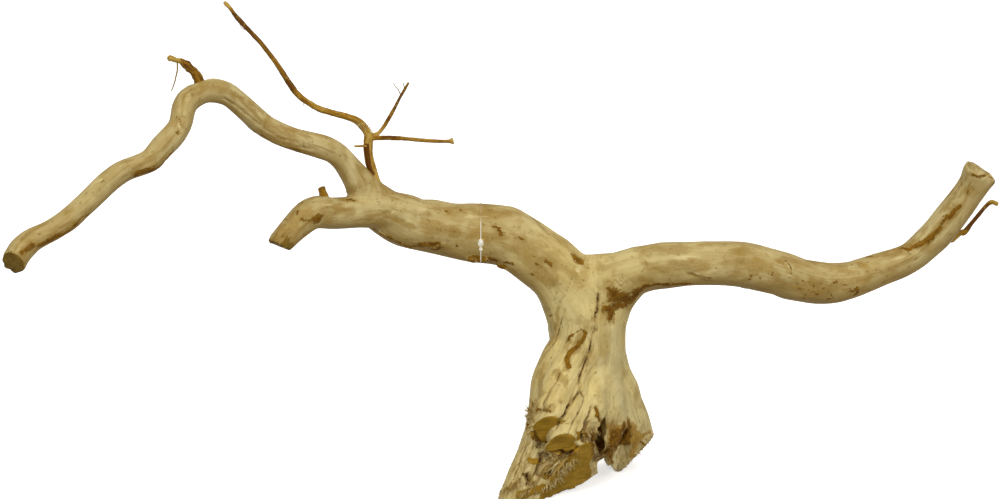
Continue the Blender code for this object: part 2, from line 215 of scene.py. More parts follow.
def centre_line(roots, *arms):
    """One line from the ground through the trunk and along an arm, with its frames and its lengths."""
    stations = CENTRE_ROOTS[roots] + CENTRE_TRUNK + sum((CENTRE_ARMS[name] for name in arms), [])
    points = fine_line([stand(*station) for station in stations])
    trunk = np.array(stand(*CENTRE_TRUNK[0]))
    start = int(np.argmin(np.linalg.norm(points - trunk, axis=1)))
    steps = np.linalg.norm(np.diff(points, axis=0), axis=1)
    length = np.concatenate([[0.0], np.cumsum(steps)])
    return points, carried_frames(points, start), length - length[start]


def nearest_rows(points, line):
    """For each point the nearest row of the line, and how far off it is."""
    rows, reach = [], []
    for chunk in np.array_split(points, max(1, len(points) // SEARCH_ROWS)):
        gap = (chunk**2).sum(1)[:, None] - 2 * chunk @ line.T + (line**2).sum(1)[None, :]
        rows.append(gap.argmin(1))
        reach.append(np.sqrt(np.maximum(gap.min(1), 0.0)))
    return np.concatenate(rows), np.concatenate(reach)


def grain_of(points, lines):
    """For each point how far along its limb it lies, and its two places round the limb."""
    found, gaps = [], []
    for line, (along, side, other), length in lines:
        row, gap = nearest_rows(points, line)
        offset = points - line[row]
        forward = (offset * along[row]).sum(1)
        round_x, round_y = (offset * side[row]).sum(1), (offset * other[row]).sum(1)
        away = np.maximum(np.hypot(round_x, round_y), 1e-6)
        turned = (GRAIN_RADIUS * round_x / away, GRAIN_RADIUS * round_y / away)
        found.append(np.stack([length[row] + forward, *turned], 1))
        gaps.append(gap)
    gaps = np.array(gaps)
    share = np.exp(-(gaps - gaps.min(0)) / GRAIN_BLEND)
    share /= share.sum(0)
    return (np.array(found) * share[:, :, None]).sum(0)


LIMBS = (("left", "left", "thin"), ("left", "left", "stub"), ("right", "right"))
limb_lines = [centre_line(*names) for names in LIMBS]
print("limb lines of", [round(float(length[-1] - length[0]) / MM) for _, _, length in limb_lines], "mm")

# %% [markdown]
# ## The twigs
# The thin side twigs are a few millimetres thick, so each becomes a piece of its own with its own bark.
# Their routes come first, because the rough twigs of the measured solid are taken off the copy of it
# that becomes the skin. Each station gives its place, its radius and how dark its bark is.

# %% The routes of the twigs
# Each station: across, up and back in mm, the radius in mm, and how dark the bark is
TWIG_STEP = 1.0 * MM
TWIGS = {
    "twig_stem": [
        (-144, 219, 12, 5.0, 0.1), (-146, 224, 12, 4.1, 0.1), (-149, 234, 15, 3.7, 0.2),
        (-151, 243, 17, 3.4, 0.3), (-151.5, 251, 18, 3.6, 0.2), (-151, 257, 18, 3.7, 0.2),
        (-150.5, 260.6, 18, 2.8, 0.2),
    ],
    "twig_long": [
        (-150, 256, 18, 2.9, 0.2), (-154.5, 264.5, 19, 3.2, 0.3), (-160, 269.5, 20, 2.9, 0.4),
        (-167, 272.4, 22, 2.6, 0.4), (-177, 275, 25, 2.4, 0.45), (-187.5, 278.2, 28, 2.4, 0.4),
        (-198, 284, 31, 2.2, 0.5), (-205, 290, 34, 2.2, 0.6), (-209.5, 296, 36, 2.4, 0.9),
        (-218.5, 310, 40, 2.0, 0.55), (-226.5, 321, 44, 1.8, 0.7), (-233, 329, 47, 1.8, 0.7),
        (-242, 338.5, 51, 1.8, 0.9), (-248.5, 345.5, 54, 1.9, 1.0), (-251.5, 349, 56, 1.6, 0.9),
        (-255, 354, 58, 1.5, 0.3), (-258, 357, 59.5, 1.7, 0.05), (-259.5, 358.5, 60, 1.1, 0.0),
    ],
    "twig_level": [
        (-150, 256.5, 18, 2.1, 0.2), (-141, 256.6, 14, 1.8, 0.5), (-130, 256.4, 8, 1.7, 0.6),
        (-122, 255.8, 4.5, 1.5, 0.5), (-114, 255, 1, 1.5, 0.35), (-98, 254, -6, 1.35, 0.45),
        (-91, 254, -9, 1.4, 0.4), (-88.6, 254.3, -10, 2.4, 0.1), (-87.6, 254.6, -10, 2.3, 0.0),
    ],
    "twig_upright": [
        (-149, 258, 18, 1.9, 0.2), (-144, 260, 20, 1.5, 0.2), (-140, 264.5, 23, 1.4, 0.4),
        (-137, 269.5, 25, 1.5, 0.7), (-134, 274.5, 28, 1.4, 0.6), (-131, 280, 31, 1.2, 0.8),
        (-128, 286, 34, 1.1, 0.9), (-124, 293, 37.5, 1.1, 0.8), (-121, 298, 40, 0.8, 0.7),
    ],
    "twig_short": [(-150, 251, 18, 1.5, 0.2), (-155, 250.5, 14, 1.0, 0.3), (-161.5, 250.4, 10, 0.8, 0.2)],
    "bend_spur": [
        (-274, 286, -26, 4.6, 0.1), (-276.5, 293, -26, 4.2, 0.35), (-278.6, 300.5, -27, 3.8, 0.62),
        (-281.4, 305.2, -28, 3.3, 0.6), (-285, 309, -29, 3.3, 0.7), (-288.6, 312, -30, 3.0, 0.65),
        (-291.5, 314, -32, 2.6, 0.5), (-293.5, 314.4, -33, 2.0, 0.2), (-296, 315, -34.5, 1.9, 0.1),
        (-298.5, 316, -36, 2.2, 0.15), (-300.4, 316.2, -37, 2.2, 0.2), (-301.4, 316.2, -37.6, 1.4, 0.2),
    ],
    "stub_spur": [(-183, 206, -8, 4.2, 0.1), (-184.5, 213, -7, 3.5, 0.4), (-186.6, 219, -8, 2.7, 0.5)],
    "end_twig": [
        (280, 182, 50, 3.0, 0.1), (286, 180.5, 56, 2.5, 0.3), (292, 185, 61, 2.2, 0.5),
        (296, 186, 64, 2.3, 0.6), (301, 192.4, 67, 1.7, 0.9), (307, 199.5, 71, 1.6, 1.0),
        (312, 205.6, 74, 1.6, 0.8), (316, 208.4, 77, 1.9, 0.2), (320.5, 207, 79, 1.7, 0.0),
    ],
}


def twig_line(name):
    """The route of a twig as rows of x, y, z, radius and darkness, in metres."""
    knots = [(*stand(a, u, b), r * MM, dark) for a, u, b, r, dark in TWIGS[name]]
    return fine_line(knots, TWIG_STEP)


twig_lines = {name: twig_line(name) for name in TWIGS}
print(len(twig_lines), "twigs,", round(sum(len(line) for line in twig_lines.values()) / 1000, 2), "m of line")

# %% [markdown]
# ## The saw cuts
# The roots and the arms end in sawn faces, flat, olive brown and crisp at the rim. The skin below is
# smoothed, which would round the rims off, so the planes of the cuts are named here. Faces of the
# solid that lie in one of them keep a sharp border, and later take the finish of end grain.

# %% The planes of the saw cuts
# Each cut: a station in it, the way it faces, and how far in mm it reaches from the station
SAW_CUTS = {
    "arm_end": ((-416.6, 163.5, -150), (-0.36, -0.84, -0.40), 18),
    "stub_end": ((-218.2, 175.6, -38), (-0.38, -0.33, -0.86), 18),
    "big_face": ((4.5, 5, -39), (0.48, -0.77, -0.42), 40),
    "under_edge": ((5, -3, -5), (0.514, -0.222, -0.828), 60),
    "foot_edge": ((53.5, 24, 30), (0.74, -0.17, -0.65), 40),
    "right_end": ((310.1, 231.4, 42), (0.59, 0.0, 0.81), 20),
    "knob_face": ((-16.5, 41, -55), (0.03, -0.90, -0.43), 20),
    "middle_face": ((-5, 28, -56), (0.18, -0.86, -0.48), 18),
    "short_face": ((4.5, 31, -50), (0.3, -0.80, -0.52), 14),
}
UNDERSIDE_REACH = 120.0 * MM
saw_planes = [(stand(*at), Vector(way).normalized(), reach * MM) for at, way, reach in SAW_CUTS.values()]
saw_planes.append((Vector((0.0, 0.0, 0.0)), Vector((0.0, 0.0, -1.0)), UNDERSIDE_REACH))
print(len(saw_planes), "sawn planes, the underside among them")

# %% [markdown]
# ## The skin of the wood
# The measured solid is made of facets about 5 mm wide. The copy of it is rounded with a Subdivision
# Surface, with creases at the saw cuts, and then a voxel Remesh gives even small faces that can carry
# cracks. The long plain arms need fewer of them than the root flare, so Decimate thins those alone.

# %% Copy the solid and take its rough twigs off
TWIG_MARGIN = 0.7 * MM
DOUBLES = 0.01 * MM


def islands(verts):
    """The connected groups among these vertices."""
    left, found = dict.fromkeys(verts), []
    while left:
        island = [left.popitem()[0]]
        for vert in island:
            for edge in vert.link_edges:
                other = edge.other_vert(vert)
                if other in left:
                    del left[other]
                    island.append(other)
        found.append(island)
    return found


bm = bmesh.new()
bm.from_mesh(frame["nodes"]["driftwood"].data)
bmesh.ops.remove_doubles(bm, verts=bm.verts, dist=DOUBLES)
places = np.array([vert.co for vert in bm.verts])
on_twig = np.zeros(len(places), bool)
for line in twig_lines.values():
    row, gap = nearest_rows(places, line[:, :3])
    on_twig |= gap < line[row, 3] + TWIG_MARGIN
# Each twig shrinks to one point at its foot, which leaves the skin closed. A set of vertices has no
# fixed order, so the vertices are walked through in dictionaries, and each run gives the same skin
limb = set(max(islands([vert for vert, out in zip(bm.verts, on_twig) if not out]), key=len))
for island in islands([vert for vert in bm.verts if vert not in limb]):
    beside = dict.fromkeys(edge.other_vert(vert) for vert in island for edge in vert.link_edges)
    foot = [vert for vert in beside if vert in limb]
    middle = sum((vert.co for vert in foot), Vector()) / len(foot)
    bmesh.ops.pointmerge(bm, verts=island, merge_co=middle)
print("edges still open:", sum(len(edge.link_faces) != 2 for edge in bm.edges))

# %% Plug the two splits
# The splits of the solid are plain slots, as (across, up) stations in mm. A round plug along each, sunk
# until it is level with the wood, closes it, and cracks with ragged sides take its place later
SLOTS = [
    [
        (20, 152), (20.3, 134), (18.8, 126), (18.8, 113), (15.8, 101), (11, 86), (7.5, 77), (8, 67), (5, 60),
        (0, 53), (-5, 44),
    ],
    [(-6.5, 82), (-12, 73), (-17, 64), (-20.5, 56)],
]
PLUG_RADIUS = 2.6 * MM
PLUG_SINK = 2.4 * MM
PLUG_BESIDE = 3.4
PLUG_STEP = 4.0


def tube_mesh(name, routes, sides):
    """One mesh of round tapering tubes, each along rows of x, y, z and radius."""
    curve = bpy.data.curves.new(name, "CURVE")
    curve.dimensions = "3D"
    curve.bevel_depth = 1.0
    curve.bevel_resolution = sides
    curve.use_fill_caps = True
    for route in routes:
        spline = curve.splines.new("POLY")
        spline.points.add(len(route) - 1)
        spline.points.foreach_set("co", np.column_stack([route[:, :3], np.ones(len(route))]).ravel())
        spline.points.foreach_set("radius", route[:, 3])
    guide = into_scene(name, curve)
    graph = bpy.context.evaluated_depsgraph_get()
    graph.update()
    made = bpy.data.meshes.new_from_object(guide.evaluated_get(graph))
    bpy.data.objects.remove(guide)
    made.name = name
    return made


solid_tree = BVHTree.FromBMesh(bm)
for slot in SLOTS:
    stations = fine_line([(across, up, 0.0) for across, up in slot], PLUG_STEP)
    plug = []
    for (across, up, _), (run, rise, _) in zip(stations, np.gradient(stations, axis=0)):
        beside = Vector((rise, -run)).normalized() * PLUG_BESIDE
        left, right = (
            on_skin(solid_tree, *pixel_at(across + k * beside.x, up + k * beside.y)) for k in (-1, 1)
        )
        plug.append((*((left + right) / 2 + SIGHT * PLUG_SINK), PLUG_RADIUS))
    bm.from_mesh(tube_mesh("plug", [np.array(plug)], 2))
bmesh.ops.remove_doubles(bm, verts=bm.verts, dist=DOUBLES)
print(len(SLOTS), "slots plugged")

# %% Keep the rims of the saw cuts sharp
CREASE_LIMIT = 0.4 * MM
CREASE_FACING = 0.97


def in_saw_plane(centre, normal):
    """True where a face lies in one of the saw cuts."""
    return any(
        abs((centre - at).dot(way)) < CREASE_LIMIT
        and normal.dot(way) > CREASE_FACING
        and (centre - at).length < reach
        for at, way, reach in saw_planes
    )


bm.normal_update()
sawn_faces = {face for face in bm.faces if in_saw_plane(face.calc_center_median(), face.normal)}
crease = bm.edges.layers.float.new("crease_edge")
for edge in bm.edges:
    edge[crease] = float(len(edge.link_faces) == 2 and len(sawn_faces.intersection(edge.link_faces)) == 1)
print(len(bm.faces), "faces,", len(sawn_faces), "of them sawn")

# %% Round it and give it even faces
VOXEL = 1.05 * MM
skin = into_scene("wood_skin", bpy.data.meshes.new("wood_skin"))
bm.to_mesh(skin.data)
bm.free()


def bake_modifiers(obj):
    """Puts what the modifiers make into the object's own mesh."""
    graph = bpy.context.evaluated_depsgraph_get()
    graph.update()
    made = bpy.data.meshes.new_from_object(obj.evaluated_get(graph))
    obj.modifiers.clear()
    obj.data = made


rounder = skin.modifiers.new("round", "SUBSURF")
rounder.levels = rounder.render_levels = 2
voxels = skin.modifiers.new("voxels", "REMESH")
voxels.mode = "VOXEL"
voxels.voxel_size = VOXEL
bake_modifiers(skin)
print("even skin:", len(skin.data.vertices), "vertices")

# %% [markdown]
# ## Marks of the wood
# Bark that the peeling left, ochre inner bark, drying cracks, pits and knots are read off the photograph
# as short strokes of pixels. A stroke is laid on the skin along the camera's rays, and each point of
# the skin keeps how deep it lies in the nearest stroke. The back is not in the photograph, so it gets
# strokes of the same kinds at seeded places, laid along the grain.

# %% Bark left by the peeling, as pixels of the photograph and a half width in mm
BARK = [
    ([(576, 258.5), (580, 262)], 3.0), ([(531, 413), (528, 421), (531, 430)], 1.3),
    ([(538, 410), (550, 411)], 0.9),
    ([(585.5, 331.5), (580.5, 329.8), (574, 333), (569.5, 338), (566.5, 342)], 0.8),
    ([(585.5, 331.5), (583.5, 339), (577.5, 345.5), (571, 352)], 1.35),
    ([(571, 352), (566.5, 358.5), (568, 366), (570, 367)], 1.5), ([(608.5, 289), (616, 296)], 1.5),
    ([(613, 294), (622, 298), (629, 299)], 4.4), ([(629, 298), (623, 305), (614, 305)], 3.0),
    ([(606, 308), (611, 311), (611, 317)], 3.0), ([(640, 290), (629, 300)], 2.6),
    ([(629, 300), (634, 293), (639, 288.5), (645, 285.5)], 2.4),
    ([(645, 285.5), (655, 284), (668, 284)], 1.7), ([(668, 284), (690, 283.5)], 1.1),
    ([(612, 434), (611.5, 455)], 2.6), ([(617.5, 431), (616.5, 447)], 3.2),
    ([(624, 426), (623.5, 443)], 3.2), ([(629, 421), (629, 440)], 2.2), ([(609, 452), (612, 462)], 2.2),
    ([(613, 437), (628, 437)], 3.4), ([(613, 444), (628, 442)], 3.2), ([(612, 431), (626, 431)], 2.2),
    ([(641, 441), (645, 446)], 0.9), ([(596, 434), (600, 446), (604, 452)], 1.4),
    ([(702, 275), (707, 277.5)], 0.9), ([(594.5, 408), (597, 416), (600, 424)], 1.5),
    ([(600, 424), (601, 434), (604, 443)], 1.7), ([(596, 436), (599, 446), (603, 454)], 1.0),
    ([(528, 420), (526.5, 430)], 0.7), ([(749, 279), (753, 277)], 0.7),
    ([(754, 275), (758, 276), (762, 279)], 0.45), ([(764, 269), (767, 273), (772, 274)], 0.5),
    ([(767, 270), (771, 270), (773, 273)], 0.45), ([(785, 261), (789, 265), (791, 270)], 0.75),
    ([(791, 270), (790.5, 276), (786, 279)], 0.4), ([(797, 280), (799, 287), (803, 292), (807, 297)], 0.5),
    ([(802, 279), (811, 283), (818, 289)], 0.4), ([(808, 289), (816, 294), (824, 293)], 0.5),
    ([(813, 286), (810, 293), (816, 298)], 0.4), ([(800, 296), (812, 300), (824, 299)], 0.5),
    ([(820, 284), (826, 289), (833, 296)], 0.4), ([(730, 287), (736, 287.5), (741, 288)], 1.5),
    ([(743, 288.5), (749, 290)], 0.9), ([(832, 281), (837, 282.5)], 1.0), ([(842, 287), (847, 285)], 0.7),
    ([(828, 298), (833, 297)], 0.9), ([(857, 288), (857.5, 292), (854, 295)], 1.6),
    ([(850, 289), (854, 292)], 0.8), ([(867, 257.5), (872, 257.5)], 1.0),
    ([(901, 248.5), (909, 250), (915, 247)], 1.3), ([(914, 247), (921.6, 243)], 1.9),
    ([(921.6, 244), (928, 239), (932, 236)], 1.9), ([(932, 236), (937, 231), (941, 227)], 1.5),
    ([(943, 223), (945, 218)], 1.3), ([(946, 217), (950, 217), (954, 213)], 2.0),
    ([(955, 211), (960, 206)], 1.6), ([(967, 195), (968, 190)], 0.6), ([(314, 219), (319, 217)], 2.3),
    ([(302, 220.5), (312, 219.5)], 0.8), ([(325, 203.2), (330.5, 201.3)], 0.8),
    ([(297, 211), (296.5, 216)], 0.7), ([(298.5, 206), (303, 203)], 0.6),
    ([(347, 200.5), (351, 199.5)], 1.1), ([(353, 201), (355.5, 202.5)], 1.0),
    ([(284.5, 225.6), (286.5, 224.5)], 0.5), ([(284.5, 219.5), (286, 220.5)], 0.5),
    ([(374, 228), (382, 233), (392, 238)], 1.2), ([(392, 238), (402, 243), (411, 246.5)], 1.0),
    ([(422, 243), (430, 244), (440, 243)], 2.0), ([(433, 249), (441, 247)], 1.6),
    ([(412, 246), (424, 247)], 1.0), ([(470, 256.5), (478, 256.5), (486, 257)], 1.9),
    ([(486, 257.5), (496, 260)], 1.6), ([(500, 265), (505, 266)], 1.5), ([(504, 262), (512, 263)], 1.0),
    ([(494, 226), (500, 229)], 0.8), ([(499, 231), (502, 234)], 1.3), ([(456, 245), (458, 246)], 1.0),
    ([(519, 237.5), (523, 240)], 0.7), ([(515, 235), (517, 236)], 0.6), ([(447, 211), (449, 213)], 1.0),
    ([(459, 210), (462, 211)], 0.7), ([(545, 260), (551, 265)], 0.8), ([(536, 263), (538, 264)], 0.8),
    ([(531, 272), (536, 276)], 0.7), ([(137, 174.5), (146, 170.5), (155, 169)], 2.1),
    ([(155, 169), (163, 164)], 1.5), ([(38, 245.5), (48, 240.5), (60, 234.5)], 1.8),
    ([(60, 234.5), (69, 229.5), (75, 224.5)], 1.5), ([(22, 254), (28, 250), (33, 245)], 1.7),
    ([(20, 240), (24, 238)], 0.5), ([(178, 132.4), (178.6, 134)], 1.0),
    ([(179.4, 124.5), (179.5, 125)], 0.7), ([(75, 224), (84, 217), (91, 211)], 0.7),
    ([(163, 163), (168, 155), (173, 149)], 0.7), ([(101, 182), (105, 178)], 0.35),
    ([(172, 121), (175, 117), (181, 122)], 0.35), ([(272, 142), (285, 146), (300, 150)], 1.0),
    ([(290, 150), (310, 153)], 0.8), ([(262, 134), (270, 139)], 0.6), ([(360, 150), (357, 154)], 0.6),
    ([(583, 289), (586, 288)], 0.6), ([(553, 313), (551, 317)], 0.5), ([(547, 338), (549, 334)], 0.5),
    ([(992, 176), (993.5, 182)], 1.0), ([(976.5, 171.5), (979, 173), (982.5, 175)], 1.1),
    ([(8, 253), (12, 251)], 0.6),
]
print(len(BARK), "strokes of bark")

# %% Ochre inner bark, in the same way
OCHRE = [
    ([(594, 407), (597, 414), (600, 420)], 2.0), ([(600, 420), (601, 430), (603, 441)], 1.5),
    ([(575, 254), (584, 266)], 3.0), ([(606, 286), (632, 306)], 5.0), ([(604, 310), (612, 321)], 3.5),
    ([(640, 290), (680, 286)], 2.6), ([(680, 285), (700, 283)], 1.4), ([(568, 340), (566, 368)], 2.6),
    ([(586, 329), (574, 350)], 3.0), ([(528, 262), (540, 270), (550, 282)], 5.0),
    ([(531, 257), (546, 260), (556, 268)], 3.4), ([(374, 229), (411, 249)], 2.6),
    ([(418, 245), (445, 247)], 3.4), ([(466, 257), (500, 262)], 3.0), ([(500, 264), (515, 270)], 2.2),
    ([(446, 208), (451, 215)], 1.8), ([(457, 208), (464, 212)], 1.4), ([(492, 225), (503, 236)], 2.0),
    ([(513, 235), (524, 242)], 1.8), ([(607, 426), (634, 430), (632, 455)], 2.4),
    ([(612, 424), (612, 455)], 3.6), ([(628, 420), (637, 440)], 3.0), ([(636, 440), (650, 432)], 2.0),
    ([(600, 434), (607, 455)], 3.0), ([(534, 412), (552, 409)], 2.6), ([(527, 418), (529, 432)], 2.4),
    ([(745, 279), (758, 274)], 2.0), ([(762, 269), (778, 274)], 2.2), ([(726, 285), (752, 290)], 2.2),
    ([(798, 285), (815, 291), (832, 293)], 5.0), ([(806, 293), (828, 298)], 4.4),
    ([(850, 290), (860, 288)], 3.4), ([(771, 281), (793, 286)], 3.6), ([(836, 296), (850, 296)], 3.0),
    ([(780, 262), (790, 272)], 2.2), ([(859, 264.5), (862, 264)], 2.0), ([(866, 258.5), (875, 257)], 1.8),
    ([(657, 245), (661, 250)], 0.7), ([(672, 246), (678, 249), (675, 253)], 0.7),
    ([(701, 244.5), (708, 246.5)], 0.7), ([(722, 261), (731, 265)], 1.9), ([(736, 262), (746, 267)], 1.5),
    ([(664, 271), (680, 276)], 1.8), ([(840, 270), (858, 274)], 2.2),
    ([(898, 248), (922, 245), (944, 222), (962, 205)], 3.4), ([(962, 205), (969, 190)], 1.6),
    ([(135, 176), (166, 164)], 3.8), ([(34, 247), (78, 224)], 3.4), ([(18, 258), (36, 244)], 3.6),
    ([(258, 130), (312, 155)], 2.4), ([(292, 222), (322, 217)], 3.2), ([(280, 226), (290, 232)], 3.4),
    ([(338, 210), (350, 214)], 3.2), ([(322, 212), (330, 221)], 3.0),
    ([(274, 238), (282, 243), (292, 242)], 5.0), ([(345, 201), (357, 202)], 2.4),
    ([(297, 207), (304, 202)], 1.4), ([(300, 212), (312, 211)], 2.2), ([(296, 228), (286, 238)], 3.4),
    ([(960, 176), (966, 192)], 1.6), ([(986, 172), (994, 186)], 1.8), ([(645, 265), (668, 271)], 2.4),
    ([(690, 274), (712, 281)], 1.8), ([(640, 277), (652, 280)], 2.0), ([(560, 300), (556, 330)], 1.5),
    ([(541, 372), (540, 395)], 3.4), ([(556, 372), (566, 384)], 3.0), ([(232, 92), (262, 112)], 1.4),
    ([(106, 176), (100, 182)], 0.9), ([(366, 164), (378, 178)], 1.6), ([(836, 284), (864, 280)], 4.6),
    ([(674, 264), (706, 266)], 4.2), ([(204, 84), (226, 86)], 4.2), ([(266, 123), (292, 136)], 4.0),
    ([(424, 226), (456, 231)], 4.2), ([(510, 246), (532, 252)], 4.0), ([(476, 234), (500, 240)], 3.0),
    ([(386, 216), (410, 226)], 2.6), ([(742, 262), (770, 268)], 3.0),
]
print(len(OCHRE), "strokes of ochre")

# %% Drying cracks, as pixels, and a half width and a depth in mm
CRACKS = [
    ([(597.5, 274), (597, 286), (597.5, 296)], 0.35, 0.8), ([(578, 259.5), (579.5, 261)], 1.2, 1.6),
    ([(597.5, 296), (598.2, 303), (597, 309), (595.5, 314)], 0.75, 2.4),
    ([(595.5, 314), (596, 322), (595, 330), (592.5, 338), (591, 345)], 0.65, 2.2),
    ([(591.8, 317), (593, 326), (590.5, 334), (589, 342)], 0.35, 0.9),
    ([(598, 312), (599, 322), (597, 331)], 0.3, 0.8),
    ([(591, 345), (589, 353), (586, 361), (583.5, 369), (580, 377)], 0.8, 2.4),
    ([(594, 346), (591, 356), (588, 365)], 0.35, 1.0), ([(587, 350), (584, 360), (580, 368)], 0.3, 0.8),
    ([(580, 377), (579.3, 384), (580.8, 391)], 0.6, 2.2), ([(577, 384), (579, 388), (577, 393)], 0.4, 1.2),
    ([(580.8, 391), (576, 397), (571, 402.5), (566.3, 411), (562.5, 418), (554.5, 429)], 0.7, 2.8),
    ([(580.8, 391), (585.2, 398), (583, 405), (579, 413), (573, 423), (567.5, 435)], 0.55, 2.4),
    ([(591.8, 408), (589.3, 416), (586, 421.6), (585, 427), (582, 432), (582, 440)], 0.8, 3.0),
    ([(561, 372), (554, 383), (547.4, 395), (542.8, 405)], 0.5, 2.0),
    ([(562, 320), (558.3, 329.4), (555, 342), (546, 351.7), (542.4, 357)], 0.45, 1.4),
    ([(565, 310), (562, 320)], 0.4, 0.7), ([(572, 278), (566, 294), (560, 303)], 0.4, 0.7),
    ([(592, 350), (588, 362), (586, 372)], 0.35, 0.9), ([(586, 352), (583, 362)], 0.3, 0.7),
    ([(574, 268), (578, 276), (581, 284)], 0.4, 0.7), ([(559, 290), (553, 303), (549, 311)], 0.4, 0.6),
    ([(533.7, 432.7), (537.7, 440.7), (543, 444.2), (550, 441)], 1.1, 3.0),
    ([(543, 456), (550.4, 453.4), (561.5, 451.5)], 1.2, 3.4), ([(527, 478), (529, 483)], 1.2, 2.6),
    ([(561.5, 451.5), (565, 455), (572.6, 451.8), (577, 447)], 1.0, 3.4),
    ([(536, 471), (540.8, 464.5), (543.5, 457)], 0.9, 3.0),
    ([(526, 486), (531, 479), (536, 472.4)], 0.9, 2.6), ([(557, 456), (553.6, 463), (546, 474)], 0.6, 2.0),
    ([(549, 458), (545, 466), (543, 474)], 0.45, 1.4), ([(562, 458), (560, 466), (556, 473)], 0.45, 1.4),
    ([(519, 447), (514, 462), (508, 478)], 0.4, 1.2), ([(527, 440), (521, 458), (514, 478)], 0.5, 1.5),
    ([(533, 446), (528, 460), (520, 480)], 0.5, 1.6), ([(540, 452), (533, 466), (527, 478)], 0.5, 1.6),
    ([(605, 432), (604, 446), (606, 456)], 0.9, 2.4), ([(596, 440), (595, 452), (594, 462)], 0.8, 2.4),
    ([(619, 414), (617, 424)], 0.3, 0.8), ([(608, 400), (607, 416), (608, 426)], 0.35, 0.8),
    ([(624, 402), (629, 416)], 0.3, 0.6), ([(634, 405), (641, 424)], 0.3, 0.7),
    ([(614, 396), (614, 412)], 0.3, 0.6), ([(635, 436), (641, 450)], 0.5, 1.2),
    ([(641, 428), (647, 440)], 0.4, 0.9),
    ([(224, 98), (237, 106), (252, 119), (265, 129), (278, 137), (297, 143)], 0.45, 1.1),
    ([(239, 96), (252, 105), (261, 112), (270, 121)], 0.3, 0.5), ([(300, 146), (312, 149)], 0.4, 0.6),
    ([(382, 214), (398, 210)], 0.3, 0.5), ([(545, 215), (556, 226), (566, 238)], 0.25, 0.4),
    ([(618, 278), (628, 290)], 0.4, 0.8), ([(621.5, 277.5), (631, 289)], 0.4, 0.8),
    ([(625, 277), (634, 288)], 0.35, 0.7), ([(628.5, 277.5), (636, 286)], 0.35, 0.7),
    ([(614.5, 280), (624, 291)], 0.35, 0.7), ([(688, 274), (703, 276.5)], 0.25, 0.5),
    ([(990, 171), (984, 178)], 0.5, 1.0), ([(974, 166), (972, 172)], 0.5, 1.0),
    ([(979.3, 170.8), (979.6, 171.6)], 1.3, 2.6), ([(178.2, 132.6), (178.8, 133.8)], 1.0, 1.6),
]
print(len(CRACKS), "cracks")

# %% Scrapes, hollows, olive spots, knocked corners and proud bark
# Whitish scrapes where a tool or a stone has rubbed
SCRAPED = [
    ([(392, 221), (408, 212)], 0.9), ([(396, 225), (412, 215)], 0.8), ([(386, 214), (402, 207)], 0.8),
    ([(420, 208), (438, 212)], 1.3), ([(404, 219), (424, 223)], 1.2), ([(440, 222), (470, 226)], 1.2),
    ([(456, 216), (490, 218)], 1.0), ([(577, 270), (590, 262)], 2.0), ([(613, 326), (616, 352)], 8.0),
    ([(612, 360), (620, 395), (630, 415)], 9.0), ([(600, 360), (604, 392)], 4.0),
    ([(566, 306), (574, 316)], 2.4), ([(670, 258), (696, 256)], 1.2), ([(880, 262), (905, 256)], 1.2),
    ([(686, 257), (690, 266), (698, 272)], 2.6), ([(726, 249.5), (733, 251)], 0.9),
    ([(743, 261.5), (752, 264)], 0.9), ([(819, 266), (825, 268)], 0.9), ([(706, 276), (708, 281)], 0.9),
    ([(353, 150), (350, 164), (353, 180)], 5.0), ([(176, 124), (182, 131)], 1.6),
    ([(92, 187), (102, 178)], 1.4), ([(310, 143), (330, 152)], 1.0),
]
# Rotted hollows, sunk into the wood and given a painted dark brown shade
HOLLOWS = [
    ([(594, 432), (595, 446), (597, 460)], 4.4), ([(600, 440), (606, 458)], 3.6),
    ([(543, 457), (538, 474)], 2.6), ([(549, 457), (560, 457), (572, 452)], 2.6),
    ([(534, 438), (540, 446)], 2.4), ([(588, 424), (585, 440)], 2.6), ([(556, 464), (548, 474)], 2.0),
    ([(527, 476), (530, 484)], 1.8), ([(590, 440), (596, 452)], 2.2), ([(566, 461), (559, 471)], 1.6),
]
# Spots with the olive brown of the cuts that lie beside their planes
OLIVE_SPOTS = [
    ([(519, 495), (530, 492), (541, 489), (550, 486)], 3.2), ([(530, 460), (538, 462)], 2.6),
    ([(545, 476), (556, 473)], 2.2), ([(272, 243), (281, 246), (291, 245)], 3.6),
    ([(284, 236), (288, 240)], 1.8), ([(574, 446), (580, 452)], 2.0),
]
# Corners of the broken ends that were knocked in, with the push in mm
KNOCKED = [
    ([(969, 163), (973, 166)], 6.5, (-2.2, 0.0, -2.6)),
    ([(270.5, 239), (273, 243)], 3.6, (1.8, 0.4, 0.0)),
]
# Bark and torn wood that stands proud, with its height in mm
PROUD = [
    ([(468, 257), (476, 259), (485, 258)], 2.0, 3.2), ([(424, 245), (432, 247), (442, 246)], 1.6, 1.5),
    ([(380, 231), (390, 238)], 1.2, 1.2), ([(399, 243), (410, 247)], 1.0, 1.2),
    ([(500, 265), (506, 268)], 1.6, 2.0), ([(733, 287), (741, 289), (748, 290)], 1.4, 1.3),
    ([(570, 254), (573, 266), (583, 267)], 1.4, 0.9), ([(545, 459), (552, 457)], 1.6, 1.8),
    ([(558, 476), (568, 472)], 2.2, 2.0), ([(562, 484), (570, 478)], 1.6, 1.4),
    ([(532, 412), (529, 424)], 1.3, 1.3), ([(538, 410), (552, 411)], 1.2, 1.0),
    ([(518, 470), (510, 486)], 1.6, 1.2), ([(684, 257), (689, 265), (696, 271), (704, 275)], 2.8, 1.4),
    ([(704, 276), (707, 281)], 1.6, 0.9), ([(344, 206), (356, 204)], 2.6, 0.9),
    ([(604, 428), (606, 440)], 1.2, 1.2),
]
print(len(SCRAPED), "scrapes,", len(HOLLOWS), "hollows,", len(OLIVE_SPOTS), "spots_of_cut_colour,", len(PROUD), "proud spots")

# %% Lay the strokes on the skin
LAY_STEP = 3.0


